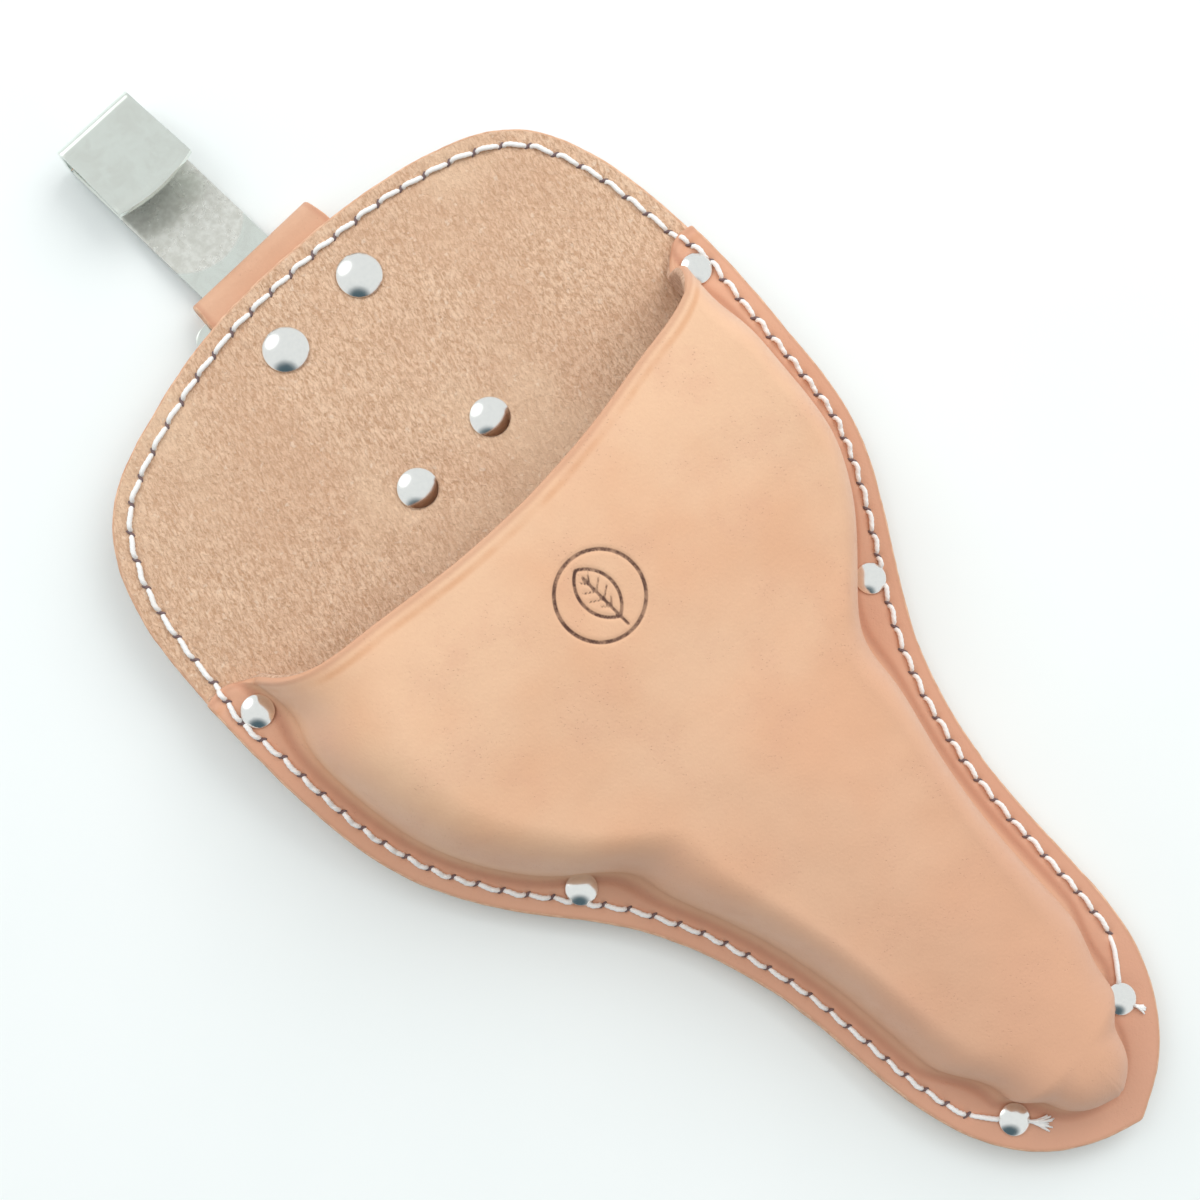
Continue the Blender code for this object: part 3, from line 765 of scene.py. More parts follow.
def nickel_look():
    look = Look("nickel_plate", roughness=0.14, metallic=1.0)
    haze = look.noise(0.8, detail=5, rough=0.7)
    tone = look.mix(look.span(haze, 0.35, 0.7), (0.985, 0.985, 0.965), (0.95, 0.955, 0.94))
    look.colour(tone)
    look.roughness(look.span(haze, 0.3, 0.75, 0.14, 0.2))
    look.bump(look.noise(2.2, detail=1), 0.02)
    return look.material


def steel_look():
    """Bright strip steel: faint rolling lines along it, smears, and a patch of painted shade and reflection
    on the leg under the flap.
    """
    look = Look("strip_steel", roughness=0.16, metallic=1.0)
    lines = look.noise(0.35, 4, 0.6, look.stretched((1.0, 0.03, 1.0)))
    smear = look.noise(4.5, detail=5, rough=0.65, distortion=0.7)
    tone = look.mix(look.span(smear, 0.35, 0.72), (0.83, 0.875, 0.825), (0.77, 0.80, 0.75))
    scratch = look.noise(0.9, 3, 0.55, look.stretched((1.0, 0.12, 1.0), 24))
    tone = look.mix(look.span(scratch, 0.68, 0.76, 0.0, 0.3), tone, (0.93, 0.94, 0.92))
    # Painted shade and reflection: a disc of the leg under the flap is painted darker and greyer, and made
    # less metallic and rougher.
    x, y, z = look.axes()
    aside = look.math("ADD", x, -CLIP_X * MM)
    beyond = look.math("ADD", y, -FLAP_SHADE_Y * MM)
    away = look.math("SQRT", look.math("ADD", look.math("POWER", aside, 2), look.math("POWER", beyond, 2)))
    flap_shade = look.span(away, (FLAP_SHADE_R - 0.35) * MM, (FLAP_SHADE_R + 0.25) * MM, 1.0, 0.0)
    flap_shade = look.math("MULTIPLY", flap_shade, look.span(z, 5 * MM, 6 * MM, 1.0, 0.0))
    mottle = look.noise(1.3, detail=5, rough=0.7)
    flap_shade_tone = look.mix(look.span(mottle, 0.36, 0.68), (0.56, 0.55, 0.50), (0.74, 0.735, 0.69))
    tone = look.mix(look.math("MULTIPLY", flap_shade, 0.85), tone, flap_shade_tone)
    look.colour(tone)
    rough = look.span(smear, 0.3, 0.75, 0.10, 0.2)
    look.roughness(look.math("ADD", rough, look.math("MULTIPLY", flap_shade, 0.12)))
    metal = look.math("SUBTRACT", 1.0, look.math("MULTIPLY", flap_shade, 0.55))
    look.give(look.shader.inputs["Metallic"], metal)
    grain = look.bump(lines, 0.004)
    look.bump(look.noise(7, detail=2), 0.04, below=grain)
    return look.material


def thread_look():
    look = Look("waxed_thread", roughness=0.55)
    fibres = look.noise(0.16, detail=4, rough=0.7)
    tone = look.mix(look.span(fibres, 0.3, 0.7), (0.88, 0.87, 0.85), (1.0, 1.0, 0.99))
    wear = look.span(look.noise(5, detail=3), 0.6, 0.75, 0.0, 0.25)
    tone = look.mix(wear, tone, (0.82, 0.70, 0.60))
    look.colour(tone)
    look.bump(fibres, 0.05)
    look.set(Specular_IOR_Level=0.35, Sheen_Weight=0.25)
    return look.material


def hole_shade_look():
    # Painted shade: this dark colour stands for the shadow down inside each needle hole.
    look = Look("needle_hole_shade", roughness=0.9)
    shade = look.mix(look.noise(0.6, detail=2), (0.13, 0.085, 0.09), (0.24, 0.165, 0.165))
    look.colour(shade)
    return look.material


def floor_look():
    look = Look("pale_floor", roughness=0.6)
    grain = look.noise(60, detail=3)
    tone = look.mix(look.span(grain, 0.3, 0.7), (0.885, 0.92, 0.915), (0.90, 0.93, 0.925))
    look.colour(tone)
    look.bump(look.noise(1.2, detail=3), 0.01)
    look.set(Specular_IOR_Level=0.3)
    return look.material


POCKET_GRAIN = pocket_look()
STRAP_GRAIN = strap_look()
PANEL_GRAIN = back_look()
SUEDE = suede_look()
CUT_EDGE = cut_look()
FLESH = flesh_look()
NICKEL = nickel_look()
STEEL = steel_look()
THREAD = thread_look()
NEEDLE_HOLE_SHADE = hole_shade_look()


# ---------------------------------------------------------------- back panel

def wander(points, size, amount, seed):
    """A small even error in the cut of an edge."""
    return amount * ripple(points, size, seed)


def edge_round(radius, thick):
    """Round the outer edge from the top face to the bottom: pairs of (inset, depth)."""
    corner = [math.radians(a) for a in (0, 30, 60, 90)]
    top = [(radius * (1 - math.sin(a)), radius * (1 - math.cos(a))) for a in corner]
    return top + [(inset, thick - depth) for inset, depth in reversed(top)]


def panel_piece():
    """The whole outline as one thick sheet, each ray running from the centre line over the edge."""
    at = np.linspace(0, EDGE_LENGTH, int(EDGE_LENGTH / PANEL_STEP / 2) * 2, endpoint=False)
    edge, normals = edge_at(at)
    edge = edge + normals * (0.05 + wander(edge, 7, 0.16, 3.0) + wander(edge, 1.6, 0.06, 9.0))[:, None]
    spine = spine_points(edge, SPINE_HIGH, 1)
    ray = spine - edge
    reach = np.linalg.norm(ray, axis=1)
    ray /= reach[:, None]

    fine = np.linspace(EDGE_ROUND, 11.0, 27)
    far = np.linspace(0, 1, 24)[1:] ** 1.15
    near_rim = np.tile(fine, (len(edge), 1))
    inset = np.concatenate([near_rim, fine[-1] + np.outer(reach - fine[-1], far)], axis=1)
    xy = edge[:, None] + ray[:, None] * inset[..., None]
    z = panel_top(xy[..., 1])
    face = np.concatenate([xy, z[..., None]], axis=-1)

    bare = smooth((xy[..., 1] - MOUTH_Y) / 3 + 1)
    pull = seam_dents(xy)
    press = rivet_dish(xy, [k for k in RIVETS if k.startswith("strap")])
    nap = 0.10 * ripple(face, 2.4, 5.0) + 0.22 * ripple(face, 17, 11.0)
    front = face.copy()
    front[..., 2] += bare * (nap - pull - press)
    share_spine(front, -1, 1)

    back = face.copy()
    back[..., 2] -= PANEL_THICK - 0.5 * pull - 0.06 * ripple(face, 15, 21.0)
    share_spine(back, -1, 1)

    rounding = edge_round(EDGE_ROUND, PANEL_THICK)
    side = []
    for in_, down in rounding[1:-1]:
        point = edge + ray * in_
        side.append(np.concatenate([point, (panel_top(point[:, 1]) - down)[:, None]], axis=1))
    side = np.stack(side, axis=1)

    points = np.concatenate([front[:, ::-1], side, back], axis=1)
    rim = np.concatenate([inset[:, ::-1], np.zeros(side.shape[:2]), inset], axis=1)
    count, turn = inset.shape[1], side.shape[1]
    kinds = [0] * (count - 1) + [1] * (turn + 1) + [2] * (count - 1)
    mesh = grid_mesh("suede_back_panel", points, closed=True, fields={"rim": rim}, kinds=kinds)
    return add_piece(
        "suede_back_panel", mesh, "panel_leather", SUEDE, CUT_EDGE, PANEL_GRAIN,
        replaces=["back_panel"],
    )


# ---------------------------------------------------------------- front pocket

def pocket_crown(y):
    """Crown height of the pocket at each y: past the spine's end it keeps falling gently."""
    table = np.array(POCKET_SECTIONS[::-1], float)
    low = table[0, 0]
    fall = (table[1, 1] - table[0, 1]) / (table[1, 0] - low)
    inside = natural_cubic(table[:, 0], table[:, 1:2], np.maximum(y, low))[:, 0]
    return inside + fall * np.minimum(y - low, 0)


def pocket_wall(y, right):
    """Wall width of the pocket at y, with right from 0 (left) to 1."""
    table = np.array(POCKET_SECTIONS[::-1], float)
    left_wall, right_wall = natural_cubic(table[:, 0], table[:, 2:], [y])[0]
    return left_wall + (right_wall - left_wall) * right


def foot_inset(p, inner, right):
    """How far in from the edge point p the pocket's wall starts: round at the tip."""
    inset = FOOT_INSET + FOOT_RIGHT * right
    for name, (push, near) in FOOT_PUSH.items():
        away = math.dist(p[:2], SEAM_AT[name][:2])
        inset += push * math.exp(-((away / near) ** 2))
    past = inner - FOOT_TIP_R - inset
    rounding = float(smooth((FOOT_TIP_FROM - p[1]) / (FOOT_TIP_FROM - SPINE_LOW)))
    return inset + rounding * (past + math.hypot(past, FOOT_TIP_BLEND)) / 2


def segment_distance(u, v, a, b):
    """Distance from the points (u, v) to the segment from a to b."""
    du, dv = b[0] - a[0], b[1] - a[1]
    t = np.clip(((u - a[0]) * du + (v - a[1]) * dv) / (du * du + dv * dv), 0, 1)
    return np.hypot(u - a[0] - t * du, v - a[1] - t * dv)


def mark_distance(x, y):
    """Distance to the nearest pressed line of the round leaf mark, negative inside a line."""
    u, v = x - MARK_AT[0], y - MARK_AT[1]
    ring = np.abs(np.hypot(u, v) - MARK_R) - 0.34
    half, tall = 3.5, 5.9
    radius = (tall**2 + half**2) / (2 * half)
    leaf = np.maximum(np.hypot(u - radius + half, v - 0.6), np.hypot(u + radius - half, v - 0.6))
    found = np.minimum(ring, np.abs(leaf - radius) - 0.3)
    found = np.minimum(found, segment_distance(u, v, (0, -7.4), (0, 4.6)) - 0.26)
    for low in (-3.0, -1.0, 1.0, 2.8):
        wide = 2.3 - 0.13 * (low + 0.3) ** 2
        for sign in (-1, 1):
            vein = segment_distance(u, v, (0, low), (sign * wide, low + 1.5))
            found = np.minimum(found, vein - 0.14)
    return found


def pocket_stations(foot, wall, inner, fillet, dome):
    """Insets and rises of one ray's stations, from the edge in: flange, foot, wall and crown.

    dome turns the wall and crown, 0 to 1, into one rounded dome.

    A rise is (millimetres up the foot's fillet, share of the way up from there to the crown).
    """
    flat = np.linspace(EDGE_ROUND, foot - fillet, 22)[:-1]
    turn = np.radians(np.linspace(0, 90, 9))
    climb = np.radians(np.linspace(0, 90, 22))[1:]
    last = foot + wall
    left = inner - last
    near = np.arange(37) * 0.36 * min(1.0, 0.8 * left / (36 * 0.36))
    away = np.linspace(1, 0, 15)[1:-1] * (left - near[-1]) + near[-1]
    crown = inner - np.concatenate([away, near[::-1]])
    inset = np.concatenate([
        flat, foot - fillet + fillet * np.sin(turn), foot + wall * (1 - np.cos(climb)), crown
    ])
    up = np.concatenate([
        np.zeros(len(flat)), fillet * (1 - np.cos(turn)), np.full(len(climb) + len(crown), fillet)
    ])
    share = np.concatenate([
        np.zeros(len(flat) + len(turn)), SHOULDER * np.sin(climb),
        SHOULDER + (1 - SHOULDER) * smooth((crown - last) / left),
    ])
    out = np.clip((inner - inset) / (inner - foot), 0, 1)
    share += ((1 - out**DOME_POWER) ** (1 / DOME_POWER) - share) * dome
    return inset, up, share


def pocket_rays():
    """The pocket's edge points and normals, from its mouth's left end by the tip to the right."""
    start = edge_length_at_height(MOUTH_Y, left=True)
    stop = edge_length_at_height(MOUTH_Y, left=False)
    count = int(start / POCKET_STEP)
    left_part, left_normal = edge_at(np.linspace(0, start, count))
    right_part, right_normal = edge_at(np.linspace(stop, EDGE_LENGTH, count))
    points = np.concatenate([left_part[::-1], right_part[::-1][1:]])
    normals = np.concatenate([left_normal[::-1], right_normal[::-1][1:]])
    return points, normals


def pocket_surface():
    """The pocket's outer surface as a grid, with its insets and each ray's foot."""
    points, normals = pocket_rays()
    drop_in, drop = np.array(MOUTH_DROP, float).T
    rows, insets, feet = [], [], []
    for p, n, q in zip(points, normals, spine_points(points, MOUTH_Y, 0)):
        ray = q - p
        reach = np.linalg.norm(ray)
        ray /= reach
        lean = max(float(ray @ n), LEAST_LEAN)
        right = float(smooth((p[0] / WALL_BLEND_HALF + 1) / 2))
        wall = pocket_wall(q[1], right)
        tip = float(smooth((TIP_WALL_FROM - p[1]) / TIP_WALL_OVER))
        wall += (TIP_WALL - wall) * tip
        inner = reach * lean
        foot = foot_inset(p, inner, right)
        fillet = 2.2 + 0.8 * right
        dome = float(smooth((DOME_FROM - q[1]) / DOME_OVER))
        inset, up, share = pocket_stations(foot, wall, inner, fillet, dome)
        fade = float(smooth((q[1] - MOUTH_FADE_TO) / (MOUTH_Y - MOUTH_FADE_TO)))
        shift = fade * natural_cubic(drop_in, drop, inset / inner * drop_in[-1])[:, 0]
        xy = p + ray * np.minimum(inset / lean, reach)[:, None]
        xy[:, 1] -= shift
        crown = pocket_crown(q[1] + (xy[:, 1] - q[1]) * dome)
        z = panel_top(xy[:, 1]) + GAP + POCKET_THICK + up + (crown - fillet) * share
        rows.append(np.column_stack([xy, z]))
        insets.append(inset)
        feet.append(foot - fillet)
    return np.array(rows), np.array(insets), np.array(feet)


def pocket_piece():
    """The moulded front as one closed skin: outside, cut edge and flesh side."""
    surface, inset, foot = pocket_surface()
    fan = spine_points(pocket_rays()[0], MOUTH_Y, 0)[:, 1] <= SPINE_LOW
    share_spine(surface, -1, 0, fan)
    normals = grid_normals(surface)
    share_spine(normals, -1, 0, fan)
    level = smooth((surface[..., 2] / surface[:, -1:, 2] - CROWN_FROM) / CROWN_OVER)
    crowded = smooth((CROWDED_BELOW - surface[..., 1]) / CROWDED_OVER)
    normals[..., :2] *= (1 - level * crowded)[..., None]
    normals[..., 2] += 0.01
    normals = unit(normals)
    xy = surface[..., :2]

    along = np.linalg.norm(np.diff(surface, axis=0), axis=2)
    half = len(surface) // 2
    mouth = np.zeros(surface.shape[:2])
    mouth[1:half + 1] = np.cumsum(along[:half], axis=0)
    mouth[half:-1] = np.cumsum(along[half:][::-1], axis=0)[::-1]
    foot_away = inset - foot[:, None]
    mark = np.full(surface.shape[:2], FAR)
    on_crown = surface[..., 2] > MARK_ABOVE
    mark[on_crown] = mark_distance(surface[..., 0], surface[..., 1])[on_crown]

    groove = 0.28 * np.exp(-((foot_away / 0.9) ** 2))
    crease = 0.035 * np.exp(-(((mouth - 2.4) / 0.6) ** 2))
    body = smooth(foot_away / 12)
    swell = body * (0.42 * ripple(surface, 31, 2.0) + 0.14 * ripple(surface, 9, 8.0))
    pull = seam_dents(xy) * (foot_away < 0) + rivet_dish(xy, [k for k in RIVETS if k.startswith("seam")])
    pressed = MARK_DEPTH * smooth(0.5 - mark / 0.5)
    outer = surface + normals * (swell - groove - crease - pull - pressed)[..., None]
    share_spine(outer, -1, 0, fan)

    inner = surface - normals * POCKET_THICK
    flat = foot_away < 0
    lowest = panel_top(inner[..., 1]) + FLANGE_LIFT
    inner[..., 2] = np.where(flat, lowest, np.maximum(inner[..., 2], lowest))
    share_spine(inner, -1, 0, fan)

    edge, edge_normal = pocket_rays()
    edge = edge + edge_normal * (0.12 + wander(edge, 8, 0.14, 13.0) + wander(edge, 1.8, 0.05, 17.0))[:, None]
    thick = GAP + POCKET_THICK - FLANGE_LIFT
    side = []
    for in_, down in edge_round(EDGE_ROUND, thick)[1:-1]:
        point = edge + edge_normal * in_
        z = panel_top(point[:, 1]) + GAP + POCKET_THICK - down
        side.append(np.column_stack([point, z]))
    side = np.stack(side, axis=1)

    points = np.concatenate([outer[:, ::-1], side, inner], axis=1)
    zero = np.zeros(side.shape[:2])
    rim = np.minimum(inset, mouth)
    fields = {
        "rim": np.concatenate([rim[:, ::-1], zero, rim], axis=1),
        "foot": np.concatenate([foot_away[:, ::-1], zero - 8, foot_away], axis=1),
        "mouth": np.concatenate([mouth[:, ::-1], zero + FAR, mouth * 0 + FAR], axis=1),
        "mark": np.concatenate([mark[:, ::-1], zero + FAR, mark * 0 + FAR], axis=1),
    }
    points, fields = round_mouth(points, fields)
    count, turn = inset.shape[1], side.shape[1]
    kinds = np.array([0] * (count - 1) + [1] * (turn + 1) + [2] * (count - 1))
    mesh = grid_mesh("moulded_pocket", points, fields=fields, kinds=kinds)
    return add_piece(
        "moulded_pocket", mesh, "pocket_leather", POCKET_GRAIN, CUT_EDGE, FLESH,
        replaces=["front_pocket"],
    )


def round_mouth(points, fields):
    """Close the mouth's cut edge: rows that bend from both faces to the middle of the leather."""
    out = []
    for first, second in ((0, 1), (-1, -2)):
        row = points[first]
        ahead = unit(row - points[second])
        across = row[::-1] - row
        caps = []
        for forward, share in ((0.22, 0.05), (0.42, 0.17), (0.5, 0.33), (0.5, 0.5)):
            caps.append(row + ahead * forward + across * share)
        out.append(caps)
    first_caps, last_caps = out
    stacked = np.concatenate([np.array(first_caps[::-1]), points, np.array(last_caps)])
    grown = {
        key: np.concatenate([np.tile(v[:1], (4, 1)), v, np.tile(v[-1:], (4, 1))])
        for key, v in fields.items()
    }
    return stacked, grown


# ---------------------------------------------------------------- strap

def strap_path():
    """The strap's middle line in (y, z), from its front end round the fold to its rear end."""
    middle = FOLD_ROOM + STRAP_THICK / 2
    front = FOLD_Z + middle
    rear = FOLD_Z - middle
    clamped = front - STRAP_THICK - 0.1
    path = [(y, front) for y in np.arange(STRAP_FRONT_END, FOLD_Y, 1.2)]
    for a in np.linspace(0, math.pi, 25):
        path.append((FOLD_Y + middle * math.sin(a), FOLD_Z + middle * math.cos(a)))

    def ramp(y_span, z_from, z_to):
        for t in np.linspace(0, 1, 14):
            path.append((y_span[0] + (y_span[1] - y_span[0]) * t, z_from + (z_to - z_from) * smooth(t)))

    def level(y_from, y_to, z):
        for y in np.linspace(y_from, y_to, 8)[1:-1]:
            path.append((y, z))

    level(FOLD_Y, RISE_BELOW_FOLD[0], rear)
    ramp(RISE_BELOW_FOLD, rear, clamped)
    level(RISE_BELOW_FOLD[1], LOOP_LEAVES[0], clamped)
    ramp(LOOP_LEAVES, clamped, rear)
    level(LOOP_LEAVES[1], LOOP_RETURNS[0], rear)
    ramp(LOOP_RETURNS, rear, front)
    level(LOOP_RETURNS[1], STRAP_REAR_END, front)
    path.append((STRAP_REAR_END, front))
    return np.array(path, float)


def strap_piece():
    """A ribbon with rounded sides, narrower where it is folded, and the slit cut for the clip."""
    path = strap_path()
    ahead = unit(np.gradient(path, axis=0))
    outward = np.stack([ahead[:, 1], -ahead[:, 0]], axis=1)
    if outward[np.argmax(path[:, 0])][0] < 0:
        outward = -outward
    middle_x, half = sum(STRAP_X) / 2, (STRAP_X[1] - STRAP_X[0]) / 2
    corner = 0.5
    thick = STRAP_THICK / 2
    wide = np.linspace(-1, 1, 27)
    ring, kinds = [], []
    for u in wide:
        ring.append((u, -corner, thick))
        kinds.append(0)
    turns = [math.radians(a) for a in (30, 60, 90)]
    rounded = [(-corner + corner * math.sin(a), corner * (1 - math.cos(a))) for a in turns]
    ring += [(1, out, thick - drop) for out, drop in rounded]
    ring += [(1, out, -thick + drop) for out, drop in reversed(rounded)]
    kinds += [1] * 6
    ring += [(u, -corner, -thick) for u in wide[::-1]]
    kinds += [2] * len(wide)
    ring += [(-u, c, -h) for u, c, h in ring[len(wide):len(wide) + 6]]
    kinds += [1] * 6
    ring.append(ring[0])
    rows, rims = [], []
    ends = np.minimum(lengths(path), lengths(path)[-1] - lengths(path))
    for (y, z), (oy, oz), end in zip(path, outward, ends):
        fold = smooth((y - 100.5) / 4.5)
        row = []
        for u, grow, h in ring:
            reach = half - 0.6 * fold + grow * (1 if abs(u) == 1 else 1)
            x = middle_x + u * reach + 0.14 * noise.noise(Vector((u * 3, y / 6, 4.0)))
            row.append((x, y + oy * h, z + oz * h))
        rows.append(row)
        rims.append([min(end, (1 - abs(u)) * half) for u, _, _ in ring])
    points, rims = np.array(rows), np.array(rims)
    centre = np.repeat(points[:, :-1].mean(axis=1, keepdims=True), points.shape[1], axis=1)
    points = np.concatenate([centre[:1], points, centre[-1:]])
    rims = np.concatenate([rims[:1] * 0, rims, rims[-1:] * 0])
    mesh = grid_mesh("folded_strap", points, fields={"rim": rims}, kinds=kinds)
    piece = add_piece(
        "folded_strap", mesh, "strap_leather", STRAP_GRAIN, CUT_EDGE, FLESH,
        replaces=["hanger_strap"],
    )
    cut_slit(piece)
    return piece


def cut_slit(piece):
    """The slit in the fold that the clip's leg comes out of."""
    bm = bmesh.new()
    bmesh.ops.create_cube(bm, size=1)
    low = np.array([SLIT_X[0], FOLD_Y, FOLD_Z + SLIT_Z[0]])
    high = np.array([SLIT_X[1], FOLD_Y + 2 * FOLD_Z, FOLD_Z + SLIT_Z[1]])
    bmesh.ops.scale(bm, vec=(high - low) * MM, verts=bm.verts)
    bmesh.ops.translate(bm, vec=(low + high) / 2 * MM, verts=bm.verts)
    mesh = bpy.data.meshes.new("slit")
    bm.to_mesh(mesh)
    bm.free()
    mesh.materials.append(CUT_EDGE)
    cutter = bpy.data.objects.new("slit", mesh)
    bpy.context.scene.collection.objects.link(cutter)
    mod = piece.modifiers.new("slit", "BOOLEAN")
    mod.operation = "DIFFERENCE"
    mod.solver = "EXACT"
    mod.object = cutter
    mod.material_mode = "TRANSFER"
    depsgraph = bpy.context.evaluated_depsgraph_get()
    done = bpy.data.meshes.new_from_object(piece.evaluated_get(depsgraph))
    piece.modifiers.clear()
    piece.data = done
    bpy.data.objects.remove(cutter)


# ---------------------------------------------------------------- clip

def clip_path():
    """The clip's middle line in (along, up) from the hinge, as a fine polyline."""
    heading, at = 0.0, np.array([HEAD_LOW - SWING_Y, 0.0])
    path = [at]

    def straight(length):
        nonlocal at
        steps = max(int(length * 2), 1)
        for _ in range(steps):
            at = at + length / steps * np.array([math.cos(heading), math.sin(heading)])
            path.append(at)

    def turn(angle, radius):
        nonlocal at, heading
        steps = 12
        for _ in range(steps):
            heading += angle / steps / 2
            length = radius * abs(angle) / steps
            at = at + length * np.array([math.cos(heading), math.sin(heading)])
            heading += angle / steps / 2
            path.append(at)

    straight(CLIP_TOP - HEAD_LOW - BEND_R)
    turn(math.pi / 2, BEND_R)
    straight(FLAP_RISE - 2 * BEND_R)
    turn(math.pi / 2, BEND_R)
    straight(FLAP_RUN)
    turn(-LIP_CURL, LIP_CURL_R)
    straight(LIP_END)
    return np.array(path)


def clip_half_width(along):
    """Half the strip's width where its middle line has run along millimetres."""
    y = HEAD_LOW + along
    corner = HEAD_HALF - HEAD_CORNER
    if y <= HEAD_LOW + HEAD_CORNER / 2:
        return HEAD_HALF - HEAD_CORNER / 2 + along
    if y <= HEAD_HIGH - HEAD_CORNER:
        return HEAD_HALF
    if y <= HEAD_HIGH:
        return corner + math.sqrt(max(HEAD_CORNER**2 - (y - HEAD_HIGH + HEAD_CORNER) ** 2, 0))
    return CLIP_HALF


def clip_piece():
    """One bent strip of steel: cross head, leg, square fold and a flap with an arched lip."""
    path = clip_path()
    run = lengths(path)
    leg = CLIP_TOP - HEAD_LOW - BEND_R
    quarter = math.pi / 2 * BEND_R
    second = leg + quarter + FLAP_RISE - 2 * BEND_R
    flap = second + quarter
    head = HEAD_HIGH - HEAD_LOW
    stops = [0, HEAD_CORNER / 4, HEAD_CORNER / 2, head - HEAD_CORNER]
    stops += [head - HEAD_CORNER * (1 - math.sin(math.radians(a))) for a in (12, 25, 38, 50, 61, 72, 81, 90)]
    stops += list(np.linspace(head + 0.3, leg, 26))
    stops += [leg + quarter * t for t in np.linspace(0, 1, 9)[1:]]
    stops += list(np.linspace(leg + quarter, second, 6))[1:]
    stops += [second + quarter * t for t in np.linspace(0, 1, 9)[1:]]
    stops += list(np.linspace(flap, run[-1], 20))[1:]
    rows = []
    for stop in stops:
        part = float(smooth((stop - flap) / (run[-1] - flap)))
        half = clip_half_width(stop) + (LIP_HALF - CLIP_HALF) * part
        row = []
        for u in np.linspace(-1, 1, 25):
            here = stop - LIP_ARCH * part * u * u
            along, up = (float(np.interp(here, run, path[:, k])) for k in (0, 1))
            row.append((u * half, along, up))
        rows.append(row)
    mesh = open_sheet("spring_clip", np.array(rows))
    turn = Matrix.Rotation(-CLIP_LEAN, 4, "X")
    mesh.transform(Matrix.Translation(Vector((CLIP_X, SWING_Y, FOLD_Z)) * MM) @ turn)
    piece = add_piece("spring_clip", mesh, "clip_steel", STEEL, body="clip", replaces=["belt_clip"])
    thick = piece.modifiers.new("thickness", "SOLIDIFY")
    thick.thickness = CLIP_THICK * MM
    thick.offset = 0
    thick.use_even_offset = True
    bevel = piece.modifiers.new("edges", "BEVEL")
    bevel.width = 0.16 * MM
    bevel.segments = 2
    bevel.limit_method = "ANGLE"
    bevel.angle_limit = math.radians(50)
    depsgraph = bpy.context.evaluated_depsgraph_get()
    done = bpy.data.meshes.new_from_object(piece.evaluated_get(depsgraph))
    piece.modifiers.clear()
    piece.data = done
    return piece


def open_sheet(name, points):
    """An open sheet through rows of points in millimetres."""
    rows, stations = points.shape[:2]
    index = np.arange(rows * stations).reshape(rows, stations)
    corners = (index[:-1, :-1], index[:-1, 1:], index[1:, 1:], index[1:, :-1])
    mesh = bpy.data.meshes.new(name)
    mesh.from_pydata(
        (points.reshape(-1, 3) * MM).tolist(), [], np.stack(corners, axis=-1).reshape(-1, 4).tolist()
    )
    return mesh


# ---------------------------------------------------------------- rivets

def rivet_cap(name, rivet):
    """A domed cap with a short turned-down edge, pressed onto the leather."""
    radius, dome = rivet["radius"], rivet["dome"]
    skirt = 0.3
    seat = rivet["seat"] - GAP - 0.12
    rise = dome - skirt
    curve = ((radius - 0.1) ** 2 + rise**2) / (2 * rise)
    steepest = math.asin((radius - 0.1) / curve)
    profile = []
    for a in np.linspace(0, steepest, 18):
        profile.append((curve * math.sin(a), dome - curve * (1 - math.cos(a))))
    profile += [(radius - 0.03, skirt - 0.07), (radius, skirt - 0.16), (radius - 0.06, 0.02)]
    profile += [(radius * 0.86, -0.1), (0, -0.1)]
    mesh = turned_mesh(name, profile, (*rivet["at"], seat))
    return add_piece(f"{name}_dome", mesh, "rivet_nickel", NICKEL, replaces=[f"{name}_cap"])


def rivet_base(name, rivet):
    """The post with its flat base, which has a shallow ring pressed into it."""
    base = rivet["base"]
    thick = 0.9
    top = rivet["seat"] - rivet["under"] - GAP
    profile = [(0, top), (1.4, top), (1.4, thick), (base - 0.25, thick)]
    profile += [(base - 0.07, thick - 0.08), (base, thick - 0.25), (base, 0.3)]
    profile += [(base - 0.1, 0.1), (base - 0.35, 0.0), (base * 0.66, 0.0), (base * 0.58, 0.16)]
    profile += [(base * 0.46, 0.2), (base * 0.38, 0.1), (base * 0.2, 0.04), (0, 0.04)]
    mesh = turned_mesh(name + "_p", profile, (*rivet["at"], rivet["under"] + 0.12))
    return add_piece(f"{name}_base", mesh, "rivet_nickel", NICKEL, replaces=[f"{name}_post"])


# ---------------------------------------------------------------- stitches

def stitch(a, b, height_a, height_b, side, random):
    """One stitch over the leather between two holes: a tube's centres and half thicknesses."""
    t = np.linspace(0, 1, 17)
    ahead = unit(b - a)
    out = np.array([-ahead[1], ahead[0]])
    on_flange = (a[1] + b[1]) / 2 < MOUTH_Y
    bulge = (STITCH_BULGE_FLANGE if on_flange else STITCH_BULGE_PANEL) + random.normal(0, 0.05)
    slant = STITCH_SLANT * random.normal(1, 0.3)
    sideways = bulge * np.sin(math.pi * t) + slant * np.sin(2 * math.pi * t)
    room = min(HOLE_GAP, np.linalg.norm(b - a) / 4)
    start, stop = a + ahead * room, b - ahead * room
    plan = start + np.outer(t, stop - start) + np.outer(sideways, out)
    rise = 1 - np.abs(2 * t - 1) ** 7
    level = height_a + (height_b - height_a) * smooth(t * 3 - 1)
    under = np.zeros(len(t))
    for rivet in RIVETS.values():
        away = np.linalg.norm(plan - rivet["at"], axis=1)
        under = np.maximum(under, smooth((rivet["radius"] + 0.45 - away) / 0.9))
    z = level + side * (THREAD_R * 0.6 * rise - STITCH_SINK * np.maximum(1 - rise, under))
    full = 0.86 + 0.14 * np.sin(math.pi * t)
    return np.column_stack([plan, z]), THREAD_R * full, THREAD_R * 0.88 * full, random.normal(2.1, 0.15)


